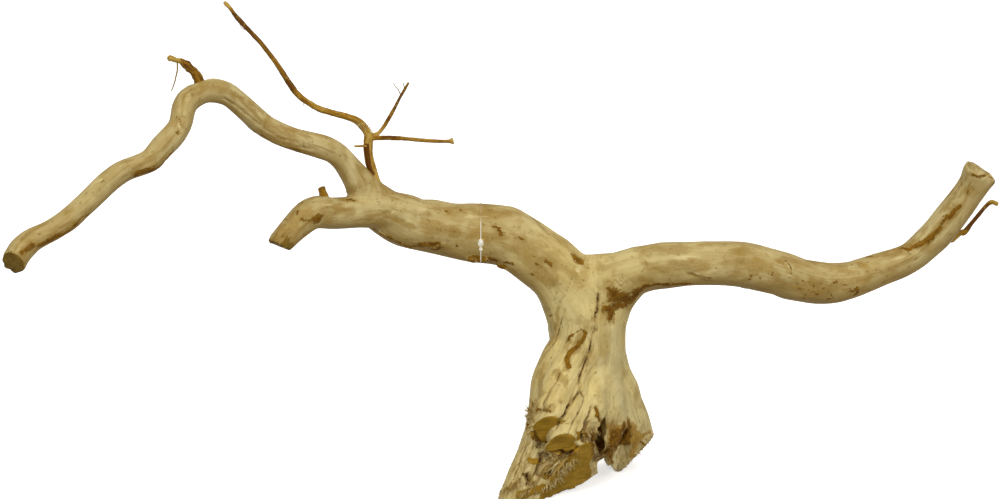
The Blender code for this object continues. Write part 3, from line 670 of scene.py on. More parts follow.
def mesh_points(mesh):
    """The places of the vertices as rows of x, y, z."""
    flat = np.empty(len(mesh.vertices) * 3)
    mesh.vertices.foreach_get("co", flat)
    return flat.reshape(-1, 3)


def mesh_normals(mesh):
    """Which way each vertex faces, as rows of x, y, z."""
    flat = np.empty(len(mesh.vertices) * 3)
    mesh.vertex_normals.foreach_get("vector", flat)
    return flat.reshape(-1, 3)


def lay(tree, pixels):
    """A stroke of pixels as points on a surface, no more than a few pixels apart."""
    line, back = [], 0.0
    for (ax, ay), (bx, by) in zip(pixels, pixels[1:]):
        count = max(1, round(math.hypot(bx - ax, by - ay) / LAY_STEP))
        for k in range(count + 1):
            spot = on_skin(tree, ax + (bx - ax) * k / count, ay + (by - ay) * k / count, back)
            back = spot.y
            line.append(spot)
    return np.array(line)


def depth_in(points, line, radius):
    """How deep points lie in a stroke: 1 on its line, 0.5 at its radius and 0 at twice that."""
    inside = ((points > line.min(0) - 2 * radius) & (points < line.max(0) + 2 * radius)).all(1)
    near, found = points[inside], np.zeros(len(points))
    gap = np.full(len(near), 1.0)
    for a, b in zip(line, line[1:]):
        way = b - a
        t = np.clip(((near - a) @ way) / max(way @ way, 1e-12), 0.0, 1.0)
        gap = np.minimum(gap, np.linalg.norm(near - a - t[:, None] * way, axis=1))
    found[inside] = np.clip(1.0 - gap / (2.0 * radius), 0.0, 1.0)
    return found


def wobble(points, turns):
    """The points pushed about by smooth noises, so that what is laid on them gets wandering borders."""
    for size, amount in turns:
        pushed = [noise.noise_vector(row) for row in (points / (size * MM)).tolist()]
        points = points + np.array(pushed) * amount * MM
    return points


def field_of(points, strokes):
    """The deepest value that any of the strokes gives each point."""
    found = np.zeros(len(points))
    for line, radius in strokes:
        found = np.maximum(found, depth_in(points, line, radius))
    return found


skin_tree = BVHTree.FromObject(skin, bpy.context.evaluated_depsgraph_get())
laid = {
    kind: [(lay(skin_tree, pixels), radius * MM) for pixels, radius in strokes]
    for kind, strokes in {
        "bark": BARK, "ochre": OCHRE, "scraped": SCRAPED, "hollow": HOLLOWS, "olive_spots": OLIVE_SPOTS,
    }.items()
}
cracks = [(lay(skin_tree, pixels), radius * MM, depth * MM) for pixels, radius, depth in CRACKS]
print("strokes laid:", {kind: len(strokes) for kind, strokes in laid.items()}, "and", len(cracks), "cracks")

# %% Strokes for the unseen back
# They run along the limbs, at seeded places that face away from the photograph. Every fourth is a crack
BACK_STROKES = 46
BACK_FACING = 0.25
BACK_FLOOR = 12.0 * MM
BACK_WANDER = 1.2 * MM
chance = random.Random(23)
places = mesh_points(skin.data)
facing = mesh_normals(skin.data)
hidden = np.flatnonzero((facing @ np.array(SIGHT) > BACK_FACING) & (places[:, 2] > BACK_FLOOR))
limb_points = np.concatenate([points for points, _, _ in limb_lines])
limb_ways = np.concatenate([frames[0] for _, frames, _ in limb_lines])
for k in range(BACK_STROKES):
    seat = places[hidden[chance.randrange(len(hidden))]]
    row, gap = nearest_rows(seat[None, :], limb_points)
    reach = min(chance.uniform(2.0, 16.0) * MM, 1.2 * gap[0])
    line = []
    for t in np.linspace(-reach, reach, 5):
        off = Vector((chance.uniform(-1, 1), chance.uniform(-1, 1), chance.uniform(-1, 1))) * BACK_WANDER
        line.append(skin_tree.find_nearest(Vector(seat + limb_ways[row[0]] * t) + off)[0])
    line = np.array(line)
    if k % 4 == 3:
        cracks.append((line, chance.uniform(0.3, 0.6) * MM, chance.uniform(0.6, 1.4) * MM))
    else:
        laid["bark"].append((line, chance.uniform(0.6, 1.9) * MM))
    laid["ochre"].append((line, chance.uniform(1.8, 3.6) * MM))
print(BACK_STROKES, "strokes on the back,", len(cracks), "cracks in all")

# %% Thin the plain arms alone, and keep the faces small near each mark
# The reach beside the middle and the height of the root flare in mm, each with the width of its fade
FLARE_MIDDLE = 12.0
ROOT_FLARE = (62.0, 20.0, 150.0, 20.0)
CRACK_MARGIN = 1.2 * MM
BARK_MARGIN = 0.6 * MM
THIN_RATIO = 0.5


def near_flare(points, reach, side_fade, top, top_fade):
    """1 in the root flare, falling to 0 towards that reach beside its middle and that height."""
    side = np.clip((reach * MM - np.abs(points[:, 0] - FLARE_MIDDLE * MM)) / (side_fade * MM), 0.0, 1.0)
    return side * np.clip((top * MM - points[:, 2]) / (top_fade * MM), 0.0, 1.0)


fine_marks = [(line, radius + CRACK_MARGIN) for line, radius, _ in cracks]
fine_marks += [(line, radius + BARK_MARGIN) for line, radius in laid["bark"]]
kept = np.maximum(near_flare(places, *ROOT_FLARE) * 0.96, field_of(places, fine_marks) > 0.4)
plain = 1.0 - kept
thinned = skin.vertex_groups.new(name="plain")
for weight in (0.0, 0.25, 0.5, 0.75, 1.0):
    chosen = np.flatnonzero(np.abs(plain - weight) <= 0.125)
    thinned.add([int(i) for i in chosen], weight, "REPLACE")
decimate = skin.modifiers.new("thin", "DECIMATE")
decimate.ratio = THIN_RATIO
decimate.vertex_group = "plain"
decimate.use_collapse_triangulate = True
bake_modifiers(skin)
triangles = sum(len(face.vertices) - 2 for face in skin.data.polygons)
print("thinned skin:", len(skin.data.vertices), "vertices,", triangles, "triangles")

# %% [markdown]
# ## Relief
# Peeled root wood isn't smooth. It has soft swellings, flutes along the grain, coarse fibrous ridges
# near the saw cuts, and cracks. Sculpting by hand would do it, but moves in code are repeatable and
# use the same grain and strokes as the colours. The sawn faces stay flat, with only the saw's marks.

# %% Even out the steps of the voxels
RELAX_TURNS = 5
RELAX_PULLS = (0.52, -0.54)
CUT_DEPTH = 1.6 * MM
CUT_RIM = 2.0 * MM
CUT_FACING = 0.55
CUT_TURN = 0.35


def relax(points, edges, hold, turns):
    """Evens points out between their neighbours, with a step back each turn so that nothing shrinks."""
    a, b = edges[:, 0], edges[:, 1]
    size = len(points)
    count = np.bincount(a, minlength=size) + np.bincount(b, minlength=size)
    for _ in range(turns):
        for pull in RELAX_PULLS:
            total = [
                np.bincount(a, points[b, k], size) + np.bincount(b, points[a, k], size) for k in range(3)
            ]
            middle = np.stack(total, 1) / count[:, None]
            points = points + (middle - points) * (pull * (1.0 - hold))[:, None]
    return points


def sawn_share(points, normals):
    """1 on a sawn face, 0.5 at its rim and 0 off it."""
    found = np.zeros(len(points))
    for at, way, reach in saw_planes:
        off = points - np.array(at)
        depth = np.abs(off @ np.array(way)) / CUT_DEPTH
        tilt = np.clip((normals @ np.array(way) - CUT_FACING) / CUT_TURN, 0.0, 1.0)
        near = np.clip((reach - np.linalg.norm(off, axis=1)) / CUT_RIM, 0.0, 1.0)
        found = np.maximum(found, np.clip(1.0 - depth, 0.0, 1.0) * tilt * near)
    return found


def move_points(mesh, rows):
    """Puts the vertices at these rows of x, y, z."""
    mesh.vertices.foreach_set("co", rows.ravel())
    mesh.update()


mesh = skin.data
places = mesh_points(mesh)
ends = np.empty(len(mesh.edges) * 2, np.int64)
mesh.edges.foreach_get("vertices", ends)
sawn = sawn_share(places, mesh_normals(mesh))
places = relax(places, ends.reshape(-1, 2), np.clip(sawn * 1.6, 0.0, 1.0), RELAX_TURNS)
move_points(mesh, places)
facing = mesh_normals(mesh)
print(len(places), "points evened out,", round(float((sawn > 0.5).mean()), 3), "of them sawn")

# %% Where the marks lie on the skin
# The sizes in mm of the noises that make borders wander, and how far in mm they push them
WANDER = ((7.0, 1.6), (2.3, 0.9))
CRACK_WANDER = ((9.0, 0.9), (2.6, 0.45))
# Lumps of noise: their size in mm, along and across the grain if there are three, and their height
CRACK_GAPS = ((7.0, 5.0, 5.0), 1.6)
CRACK_LIP = 0.3 * MM
DEEP_CRACK = 2.4 * MM
FIBRE_TOP = 78.0 * MM
FIBRE_FADE = 45.0 * MM


def waves(points, *layers):
    """The sum at each point of smooth noises, each given as the size of its lumps in mm and its height."""
    total = np.zeros(len(points))
    for size, height in layers:
        scaled = points / (np.array(size) * MM)
        total += np.array([noise.noise(row) for row in scaled.tolist()]) * height
    return total


grain = grain_of(places, limb_lines)
base = near_flare(places, *ROOT_FLARE)
rough = base * np.maximum(np.clip((FIBRE_TOP - places[:, 2]) / FIBRE_FADE, 0.0, 1.0), 0.35)
wandered = wobble(places, WANDER)
marks = {kind: field_of(wandered, strokes) for kind, strokes in laid.items()}
proud = np.zeros(len(places))
for pixels, radius, height in PROUD:
    share = depth_in(wandered, lay(skin_tree, pixels), radius * MM)
    proud = np.maximum(proud, np.clip(share * 1.7 - 0.35, 0.0, 1.0) * height)
knocked = np.zeros_like(places)
for pixels, radius, push in KNOCKED:
    share = np.clip(depth_in(wandered, lay(skin_tree, pixels), radius * MM) * 1.4, 0.0, 1.0)
    knocked += share[:, None] * np.array(push) * MM
crack_at = wobble(places, CRACK_WANDER)
# The colour share of the cracks: a darker brown band along them and painted shade deep in them, strongest on
# deep ones
crack_depth, crack_shade_share = np.zeros(len(places)), np.zeros(len(places))
open_share = 1.0 - 0.5 * np.clip(waves(grain, CRACK_GAPS) + 0.1, 0.0, 1.0)
for line, radius, depth in cracks:
    share = depth_in(crack_at, line, radius + CRACK_LIP) * open_share
    crack_depth = np.maximum(crack_depth, np.clip(share * 1.7 - 0.3, 0.0, 1.0) * depth)
    crack_shade_share = np.maximum(crack_shade_share, share * (0.66 + 0.34 * min(1.0, depth / DEEP_CRACK)))
print("in a mark:", {kind: int((share > 0.5).sum()) for kind, share in marks.items()}, "points")

# %% Push the relief in
# Sizes and heights in mm
LUMPS = (24.0, 0.5)
FACETS = ((16.0, 6.0, 6.0), 0.26)
FLUTES = ((70.0, 4.5, 4.5), 0.28)
BASE_FLUTES = ((85.0, 2.6, 2.6), 1.05)
BASE_FIBRES = ((34.0, 0.9, 0.9), 0.42)
BARK_CHIPS = (2.2, 0.6)
SAW_MARKS = (((1.3, 9.0, 1.3), 0.12), (7.0, 0.35))
RIM_CHIPS = ((2.1, 0.9), (4.8, 1.1))
KNOBS = ((5.5, 2.0), (2.4, 0.7))
# Rounding took this much off the wood, so it is put back on
ROUNDING_LOSS = 0.30
BARK_RISE = 0.38
HOLLOW_DEPTH = 3.6
BROKEN_END = list(SAW_CUTS).index("right_end")
BREAK_REACH = 9.0 * MM
BREAK_DEPTH = 5.0 * MM

flutes = waves(grain, FLUTES) * (1 - base)
base_flutes = -np.abs(waves(grain, BASE_FLUTES)) * (0.35 * base + 0.65 * rough)
fibres = waves(grain, BASE_FIBRES) * rough
lumps = waves(places, LUMPS) + waves(grain, FACETS)
chips = np.clip(marks["bark"] * 2.2 - 0.6, 0.0, 1.0) * (0.7 + waves(places, BARK_CHIPS)) * BARK_RISE
sunk = np.clip(marks["hollow"] * 1.5 - 0.25, 0.0, 1.0) * HOLLOW_DEPTH
rim_chips = np.clip(4.0 * sawn * (1.0 - sawn), 0.0, 1.0) * waves(places, *RIM_CHIPS)
# The right arm was broken off, not sawn, so its end is knobby and keeps the colour of the wood
break_at, break_way, _ = saw_planes[BROKEN_END]
off_break = places - np.array(break_at)
broken = np.clip(2.0 - np.linalg.norm(off_break, axis=1) / BREAK_REACH, 0.0, 1.0)
break_face = np.clip(1.4 - np.abs(off_break @ np.array(break_way)) / BREAK_DEPTH, 0.0, 1.0)
knobs = broken * break_face * waves(places, *KNOBS)
sawn = sawn * (1.0 - broken)
off_cut = 1.0 - np.clip(sawn * 1.8, 0.0, 1.0)
lift = (ROUNDING_LOSS + flutes + base_flutes + fibres + lumps + knobs + chips + proud - sunk) * off_cut
lift += waves(places, *SAW_MARKS) * (1 - off_cut) + rim_chips
lift = lift * MM - crack_depth
places = places + facing * lift[:, None] + knocked
places[:, 2] = np.maximum(places[:, 2], 0.0)
move_points(mesh, places)
print("relief from", round(float(lift.min()) / MM, 2), "to", round(float(lift.max()) / MM, 2), "mm")

# %% [markdown]
# ## What each point of the wood remembers
# A material can't know where the bark was left. So the mesh carries four attributes: the grain, the
# marks (bark, ochre, crack with its painted shade, sawn), the tones (scraped, painted shade in the hollows,
# rough, painted shade on the underside), and how freshly the wood was peeled. The shader breaks their soft
# borders up with fine noise, as ragged as torn bark.

# %% Write the attributes
# The wood that was peeled last and is still pale: reach and height in mm with their fades
FRESH_WOOD = (102.0, 60.0, 212.0, 75.0)


def write_one(mesh, name, values):
    """A number at each vertex."""
    made = mesh.attributes.new(name, "FLOAT", "POINT")
    made.data.foreach_set("value", values.astype(np.float32))


def write_vector(mesh, name, rows):
    """Three numbers at each vertex."""
    made = mesh.attributes.new(name, "FLOAT_VECTOR", "POINT")
    made.data.foreach_set("vector", rows.astype(np.float32).ravel())


def write_four(mesh, name, *columns):
    """Four numbers at each vertex, as a colour with alpha."""
    made = mesh.attributes.new(name, "FLOAT_COLOR", "POINT")
    made.data.foreach_set("color", np.stack(columns, 1).astype(np.float32).ravel())


facing = mesh_normals(mesh)
# Painted shade: faces that look down get a darker, more saturated brown, weaker in the root flare
underside_shade = np.clip(0.16 - 0.8 * facing[:, 2], 0.0, 1.0) * (1.0 - 0.75 * base)
write_vector(mesh, "grain", grain)
cut_colour = np.maximum(sawn, 0.8 * marks["olive_spots"])
write_four(mesh, "marks", marks["bark"], marks["ochre"], crack_shade_share, cut_colour)
write_four(mesh, "tones", marks["scraped"], marks["hollow"], rough, underside_shade)
write_one(mesh, "fresh", near_flare(places, *FRESH_WOOD))
mesh.polygons.foreach_set("use_smooth", [True] * len(mesh.polygons))
skin.name = "wood"
print("attributes", [a.name for a in mesh.attributes if a.name in ("grain", "marks", "tones", "fresh")])

# %% [markdown]
# ## The finish of peeled root wood
# Peeled, air-dried hardwood root: pale straw-coloured sapwood, matt, with a faint satin where the peeling
# knife ran. Fine streaks follow the grain, inner bark shows ochre, bark left on is dark red brown, and
# the sawn ends are olive brown and rougher. Every pattern is set in real millimetres.

# %% Helpers for materials
SOFT_STEP = {"interpolation_type": "SMOOTHSTEP"}
MIX_COLOURS = {"data_type": "RGBA"}


def linear(code):
    """An sRGB hex colour as the linear numbers that shaders work in."""
    parts = [int(code[i : i + 2], 16) / 255 for i in (0, 2, 4)]
    return (*[p / 12.92 if p <= 0.04045 else ((p + 0.055) / 1.055) ** 2.4 for p in parts], 1.0)


def add(tree, kind, settings, inputs):
    """Adds a node: settings are its properties, inputs are values or other nodes' outputs."""
    made = tree.nodes.new(kind)
    for name, value in settings.items():
        setattr(made, name, value)
    for name, value in inputs.items():
        if isinstance(value, bpy.types.NodeSocket):
            tree.links.new(value, made.inputs[name])
        else:
            made.inputs[name].default_value = value
    return made


def new_finish(name, colour, roughness):
    """A material with a Principled shader, and its tree and shader to build on."""
    finish = bpy.data.materials.new(name)
    finish.use_nodes = True
    shader = finish.node_tree.nodes["Principled BSDF"]
    shader.inputs["Base Color"].default_value = linear(colour)
    shader.inputs["Roughness"].default_value = roughness
    finish.diffuse_color = linear(colour)
    return finish, finish.node_tree, shader


def patterns(tree, place, rows):
    """Noises on a place: each row is the size of the lumps in mm by direction, detail and roughness."""
    found = []
    for size, detail, roughness in rows:
        inputs = {0: place, 1: [1 / (s * MM) for s in size]}
        scaled = add(tree, "ShaderNodeVectorMath", {"operation": "MULTIPLY"}, inputs).outputs[0]
        inputs = {"Vector": scaled, "Scale": 1.0, "Detail": detail, "Roughness": roughness}
        found.append(add(tree, "ShaderNodeTexNoise", {}, inputs).outputs[0])
    return found


def weighed(tree, *parts):
    """The sum of several fields, each times its weight."""
    total = 0.0
    for field, weight in parts:
        inputs = {0: field, 1: weight, 2: total}
        total = add(tree, "ShaderNodeMath", {"operation": "MULTIPLY_ADD"}, inputs).outputs[0]
    return total


def frayed(tree, field, noise_at, amount):
    """A field pushed up and down by a noise, which tears its soft border into a ragged one."""
    swing = add(tree, "ShaderNodeMath", {"operation": "SUBTRACT"}, {0: noise_at, 1: 0.5}).outputs[0]
    inputs = {0: swing, 1: amount, 2: field}
    return add(tree, "ShaderNodeMath", {"operation": "MULTIPLY_ADD"}, inputs).outputs[0]


def paint(tree, colour, layers):
    """Lays colours over a colour, each where its field is high: none of it at low, and most at high."""
    for field, low, high, most, above in layers:
        inputs = {"Value": field, "From Min": low, "From Max": high, "To Max": most}
        share = add(tree, "ShaderNodeMapRange", SOFT_STEP, inputs).outputs[0]
        below, above = (linear(end) if isinstance(end, str) else end for end in (colour, above))
        colour = add(tree, "ShaderNodeMix", MIX_COLOURS, {0: share, 6: below, 7: above}).outputs[2]
    return colour


print("straw in linear light:", [round(v, 3) for v in linear("c4ad70")[:3]])

# %% Peeled root wood: what the skin remembers, and its patterns
wood_finish, tree, shader = new_finish("peeled_root_wood", "c4ad70", 0.62)
grain_at = add(tree, "ShaderNodeAttribute", {"attribute_name": "grain"}, {}).outputs["Vector"]
fresh = add(tree, "ShaderNodeAttribute", {"attribute_name": "fresh"}, {}).outputs["Fac"]
marks_at = add(tree, "ShaderNodeAttribute", {"attribute_name": "marks"}, {}).outputs
tones_at = add(tree, "ShaderNodeAttribute", {"attribute_name": "tones"}, {}).outputs
marks_rgb = add(tree, "ShaderNodeSeparateColor", {}, {"Color": marks_at["Color"]}).outputs
tones_rgb = add(tree, "ShaderNodeSeparateColor", {}, {"Color": tones_at["Color"]}).outputs
bark_field, ochre_field, crack_shade_field, sawn_field = *marks_rgb, marks_at["Alpha"]
scraped_field, hollow_shade_field, rough_field, underside_shade_field = *tones_rgb, tones_at["Alpha"]
own = add(tree, "ShaderNodeTexCoord", {}, {}).outputs["Object"]

# Along the grain: fine streaks, drawn twice as wide as the real ones so that they show, torn hairs,
# broad streaks, and the patches where the arms have darkened
fine, hair, broad, patches = patterns(
    tree,
    grain_at,
    [
        ((22.0, 0.9, 0.9), 3.0, 0.60),
        ((12.0, 1.6, 1.6), 2.0, 0.50),
        ((90.0, 5.0, 5.0), 3.0, 0.55),
        ((24.0, 9.0, 9.0), 4.0, 0.60),
    ],
)
# On the piece itself: clouds, blotches, the teeth of torn edges, specks, of which only the tops show,
# about 1 mm wide, and the parallel lines of the saw
clouds, blotch, teeth, specks, saw_lines = patterns(
    tree,
    own,
    [
        ((50.0, 50.0, 50.0), 2.0, 0.50),
        ((12.0, 12.0, 12.0), 3.0, 0.50),
        ((1.9, 1.9, 1.9), 3.0, 0.65),
        ((3.4, 3.4, 3.4), 1.0, 0.50),
        ((30.0, 4.0, 1.2), 2.0, 0.50),
    ],
)
print("the wood has", len(tree.nodes), "nodes for fields and patterns")

# %% Straw, streaks and specks
# Weathered straw on the arms, and paler wood where the trunk was peeled last
arm_straw = paint(tree, "c0ad76", [(clouds, 0.36, 0.64, 1.0, "b09960")])
trunk_straw = paint(tree, "d8c482", [(clouds, 0.36, 0.64, 1.0, "ceb670")])
colour = add(tree, "ShaderNodeMix", MIX_COLOURS, {0: fresh, 6: arm_straw, 7: trunk_straw}).outputs[2]
inputs = {"Value": fresh, "To Min": 0.68, "To Max": 0.20}
darkened = add(tree, "ShaderNodeMapRange", SOFT_STEP, inputs).outputs[0]
# The arms were scraped smooth, so the streaks show most in the rough root flare
dark_streaks, pale_streaks = (
    add(
        tree,
        "ShaderNodeMapRange",
        SOFT_STEP,
        {"Value": rough_field, "From Max": 0.7, "To Min": 0.45 * most, "To Max": most},
    ).outputs[0]
    for most in (0.50, 0.42)
)
fibrous = add(tree, "ShaderNodeMath", {"operation": "MULTIPLY"}, {0: rough_field, 1: 0.46}).outputs[0]
colour = paint(
    tree,
    colour,
    [
        (rough_field, 0.15, 0.80, 0.65, "e2cf93"),
        (blotch, 0.50, 0.68, 0.46, "9b7c38"),
        (blotch, 0.46, 0.30, 0.42, "cdbb80"),
        (patches, 0.47, 0.64, darkened, "8f7031"),
        (broad, 0.50, 0.68, dark_streaks, "957835"),
        (broad, 0.46, 0.30, pale_streaks, "d2c088"),
        (fine, 0.50, 0.72, dark_streaks, "83642a"),
        (fine, 0.46, 0.28, pale_streaks, "dccb98"),
        (specks, 0.66, 0.74, 0.45, "6f4f20"),
        (frayed(tree, scraped_field, hair, 0.9), 0.35, 0.95, 0.62, "d9c890"),
        # Painted shade on the faces that look down
        (underside_shade_field, 0.05, 0.95, 0.82, "9f7c31"),
        (hair, 0.48, 0.66, fibrous, "8c6626"),
    ],
)
print("and", len(tree.nodes), "with its straw and streaks")

# %% Inner bark and bark
# Ochre inner bark is strongest in the torn root flare and olive brown elsewhere. Bark is dark red brown
# with a lighter edge where it thins out
torn_noise = weighed(tree, (teeth, 0.55), (hair, 0.45))
ochre_noise = weighed(tree, (blotch, 0.40), (torn_noise, 0.60))
inputs = {"Value": rough_field, "From Min": 0.36, "From Max": 0.70}
torn_flare = add(tree, "ShaderNodeMapRange", SOFT_STEP, inputs).outputs[0]
inputs = {"Value": torn_flare, "To Min": 0.60, "To Max": 0.85}
ochre_share = add(tree, "ShaderNodeMapRange", SOFT_STEP, inputs).outputs[0]
arm_ochre = paint(tree, "86652a", [(teeth, 0.36, 0.62, 1.0, "a3833c")])
flare_ochre = paint(tree, "8f6414", [(blotch, 0.36, 0.62, 1.0, "b08428")])
ochre = add(tree, "ShaderNodeMix", MIX_COLOURS, {0: torn_flare, 6: arm_ochre, 7: flare_ochre}).outputs[2]
colour = paint(
    tree,
    colour,
    [
        (frayed(tree, ochre_field, ochre_noise, 2.4), 0.20, 0.72, ochre_share, ochre),
        (frayed(tree, bark_field, torn_noise, 1.9), 0.24, 0.66, 0.78, "9c7528"),
    ],
)
inputs = {"Value": frayed(tree, bark_field, torn_noise, 2.4), "From Min": 0.38, "From Max": 0.66}
bark_share = add(tree, "ShaderNodeMapRange", SOFT_STEP, inputs).outputs[0]
bark_colour = paint(tree, "684104", [(torn_noise, 0.40, 0.60, 1.0, "8a6214")])
colour = add(tree, "ShaderNodeMix", MIX_COLOURS, {0: bark_share, 6: colour, 7: bark_colour}).outputs[2]
print("and", len(tree.nodes), "with its bark")

# %% Sawn faces, painted shade in the hollows, and cracks with painted shade
inputs = {"Value": frayed(tree, sawn_field, teeth, 0.35), "From Min": 0.30, "From Max": 0.50}
end_share = add(tree, "ShaderNodeMapRange", SOFT_STEP, inputs).outputs[0]
# End grain is olive brown, and duller on the arms than in the root flare
end_dark, end_light = (
    add(tree, "ShaderNodeMix", MIX_COLOURS, {0: fresh, 6: linear(arm), 7: linear(flare)}).outputs[2]
    for arm, flare in (("765a1e", "947018"), ("8e7230", "b68c2c"))
)
end_colour = paint(
    tree,
    end_dark,
    [
        (blotch, 0.34, 0.68, 1.0, end_light),
        (saw_lines, 0.48, 0.70, 0.40, "6e4e06"),
        (teeth, 0.52, 0.72, 0.50, "b3963c"),
    ],
)
colour = add(tree, "ShaderNodeMix", MIX_COLOURS, {0: end_share, 6: colour, 7: end_colour}).outputs[2]
# Painted shade: a dark brown laid in the sunk hollows
hollow_shade_noise = weighed(tree, (teeth, 0.5), (hair, 0.5))
# Along the cracks a darker brown band, and painted shade near black in their depth
torn_crack_shade = frayed(tree, crack_shade_field, teeth, 0.35)
colour = paint(
    tree,
    colour,
    [
        (frayed(tree, hollow_shade_field, hollow_shade_noise, 1.3), 0.32, 0.80, 0.76, "654110"),
        (torn_crack_shade, 0.34, 0.64, 0.50, "7c5820"),
        (torn_crack_shade, 0.62, 0.86, 1.0, "2c1905"),
    ],
)
tree.links.new(colour, shader.inputs["Base Color"])
print("and", len(tree.nodes), "with its cuts and cracks")

# %% Gloss and fine relief of the wood
# The satin of the knife against rough bark and end grain
dull = add(tree, "ShaderNodeMath", {"operation": "MAXIMUM"}, {0: bark_share, 1: end_share}).outputs[0]
inputs = {"Value": weighed(tree, (broad, 0.12), (dull, 1.0)), "To Min": 0.60, "To Max": 0.88}
tree.links.new(add(tree, "ShaderNodeMapRange", SOFT_STEP, inputs).outputs[0], shader.inputs["Roughness"])
shader.inputs["Specular IOR Level"].default_value = 0.10
inputs = {
    0: weighed(tree, (dull, 1.0), (rough_field, 1.0)),
    1: weighed(tree, (teeth, 1.0), (hair, 1.0)),
}
torn = add(tree, "ShaderNodeMath", {"operation": "MULTIPLY"}, inputs).outputs[0]
# Relief too fine for the faces, as a height, a strength and a depth in mm: the grain, the knife's marks,
# and torn bark and end grain
below = {}
for height, strength, depth in ((fine, 0.7, 0.28), (broad, 0.6, 1.0), (torn, 0.8, 0.8)):
    inputs = {"Strength": strength, "Distance": depth * MM, "Height": height, **below}
    below = {"Normal": add(tree, "ShaderNodeBump", {}, inputs).outputs[0]}
tree.links.new(below["Normal"], shader.inputs["Normal"])

skin.data.materials.clear()
skin.data.materials.append(wood_finish)
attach(skin, "root")
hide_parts("driftwood")
print("wood finish has", len(tree.nodes), "nodes")

# %% [markdown]
# ## Twigs with bark
# A twig is a tapering round stem with knots. A curve with a bevel follows its route and takes a radius
# at each point, which is quicker than lofting rings. It is made a mesh, and its surface is roughened.

# %% Make the twigs
# Sizes and heights of the bumps in mm, and the height of the knots where it isn't the usual one
TWIG_BUMP = ((9.0, 1.5, 1.5), 0.22)
KNOT_SIZE = 3.0
KNOT_HEIGHT = 0.25
KNOTTY = {"bend_spur": 0.7, "stub_spur": 0.5}
TWIG_ROUND = 3.0 * MM
FULL_BUMP_RADIUS = 2.2 * MM


def as_piece(name, made, finish, node):
    """Puts a mesh into the scene as a piece that rides on the wood."""
    made.materials.clear()
    made.materials.append(finish)
    made.polygons.foreach_set("use_smooth", [True] * len(made.polygons))
    piece = into_scene(name, made)
    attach(piece, "root")
    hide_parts(node)
    return piece


def mesh_tree(made):
    """A search tree of a mesh, to send rays at."""
    corners = [tuple(vert.co) for vert in made.vertices]
    return BVHTree.FromPolygons(corners, [tuple(face.vertices) for face in made.polygons])


# The dark strips of bark left on the twigs, as pixels and a half width in mm
BARK_STRIPS = [
    ("twig_stem", [(366.5, 146), (367, 156), (369.5, 168), (372, 174)], 2.3),
    ("twig_long", [(288, 82), (290, 86)], 1.6), ("twig_level", [(382, 136.6), (396, 136.6)], 1.0),
    ("twig_upright", [(387, 120.5), (389, 117)], 0.9), ("bend_spur", [(185.5, 65), (187, 67)], 1.3),
    ("bend_spur", [(193, 71), (195, 75)], 0.9), ("bend_spur", [(181, 59), (184, 62)], 0.7),
    ("end_twig", [(971, 224), (983, 211)], 1.2),
]
twig_finish, tree, shader = new_finish("twig_bark", "8a6528", 0.6)
twig_meshes = {}
for name, line in twig_lines.items():
    made = tube_mesh(name, [line[:, :4]], 4)
    spots, ways = mesh_points(made), mesh_normals(made)
    route = line[:, :3]
    length = np.concatenate([[0.0], np.cumsum(np.linalg.norm(np.diff(route, axis=0), axis=1))])
    along = grain_of(spots, [(route, carried_frames(route, 0), length)])
    along[:, 1:] *= TWIG_ROUND / GRAIN_RADIUS
    row, _ = nearest_rows(spots, route)
    bump = waves(along, TWIG_BUMP) + waves(spots, (KNOT_SIZE, KNOTTY.get(name, KNOT_HEIGHT)))
    spots = spots + ways * (bump * MM * np.clip(line[row, 3] / FULL_BUMP_RADIUS, 0.4, 1.4))[:, None]
    move_points(made, spots)
    write_vector(made, "grain", along)
    write_one(made, "dark", line[row, 4])
    strip = np.zeros(len(spots))
    for owner, pixels, radius in BARK_STRIPS:
        if owner == name:
            strip = np.maximum(strip, depth_in(spots, lay(mesh_tree(made), pixels), radius * MM))
    write_one(made, "strip", strip)
    twig_meshes[name] = made
print("twigs have", sum(len(made.vertices) for made in twig_meshes.values()), "vertices")

# %% Bark of the twigs
# Thin dried bark, golden brown to dark brown, flaked off here and there to pale wood
grain_at = add(tree, "ShaderNodeAttribute", {"attribute_name": "grain"}, {}).outputs["Vector"]
dark_at = add(tree, "ShaderNodeAttribute", {"attribute_name": "dark"}, {}).outputs["Fac"]
strip_at = add(tree, "ShaderNodeAttribute", {"attribute_name": "strip"}, {}).outputs["Fac"]
own = add(tree, "ShaderNodeTexCoord", {}, {}).outputs["Object"]
(streak,) = patterns(tree, grain_at, [((9.0, 1.3, 1.3), 3.0, 0.50)])
(flecks,) = patterns(tree, own, [((3.5, 3.5, 3.5), 3.0, 0.50)])
tone = frayed(tree, dark_at, streak, 1.5)
colour = paint(
    tree,
    "b99848",
    [
        (tone, 0.10, 0.40, 1.0, "926812"),
        (tone, 0.42, 0.90, 1.0, "5a3600"),
        (flecks, 0.56, 0.70, 0.60, "b48c36"),
        (frayed(tree, strip_at, streak, 0.5), 0.45, 0.60, 1.0, "603600"),
    ],
)
shader.inputs["Specular IOR Level"].default_value = 0.12
tree.links.new(colour, shader.inputs["Base Color"])
inputs = {"Strength": 0.8, "Distance": 0.4 * MM, "Height": streak}
tree.links.new(add(tree, "ShaderNodeBump", {}, inputs).outputs[0], shader.inputs["Normal"])
for name, made in twig_meshes.items():
    as_piece(name, made, twig_finish, "driftwood")
print("twig finish has", len(tree.nodes), "nodes")

# %% [markdown]
# ## Torn fibres and splinters
# The spade and the saw tore the root flare, and strips of wood stand off it, most of them less than 2 mm
# thick: fringes at the rims of the cuts, splinters in the rotted gap and along the drying cracks. A
# hair system would grow them, but it can't be told where, so each is a short tapering tube of a few
# faces, rooted half a millimetre in the wood. All of them are one mesh.

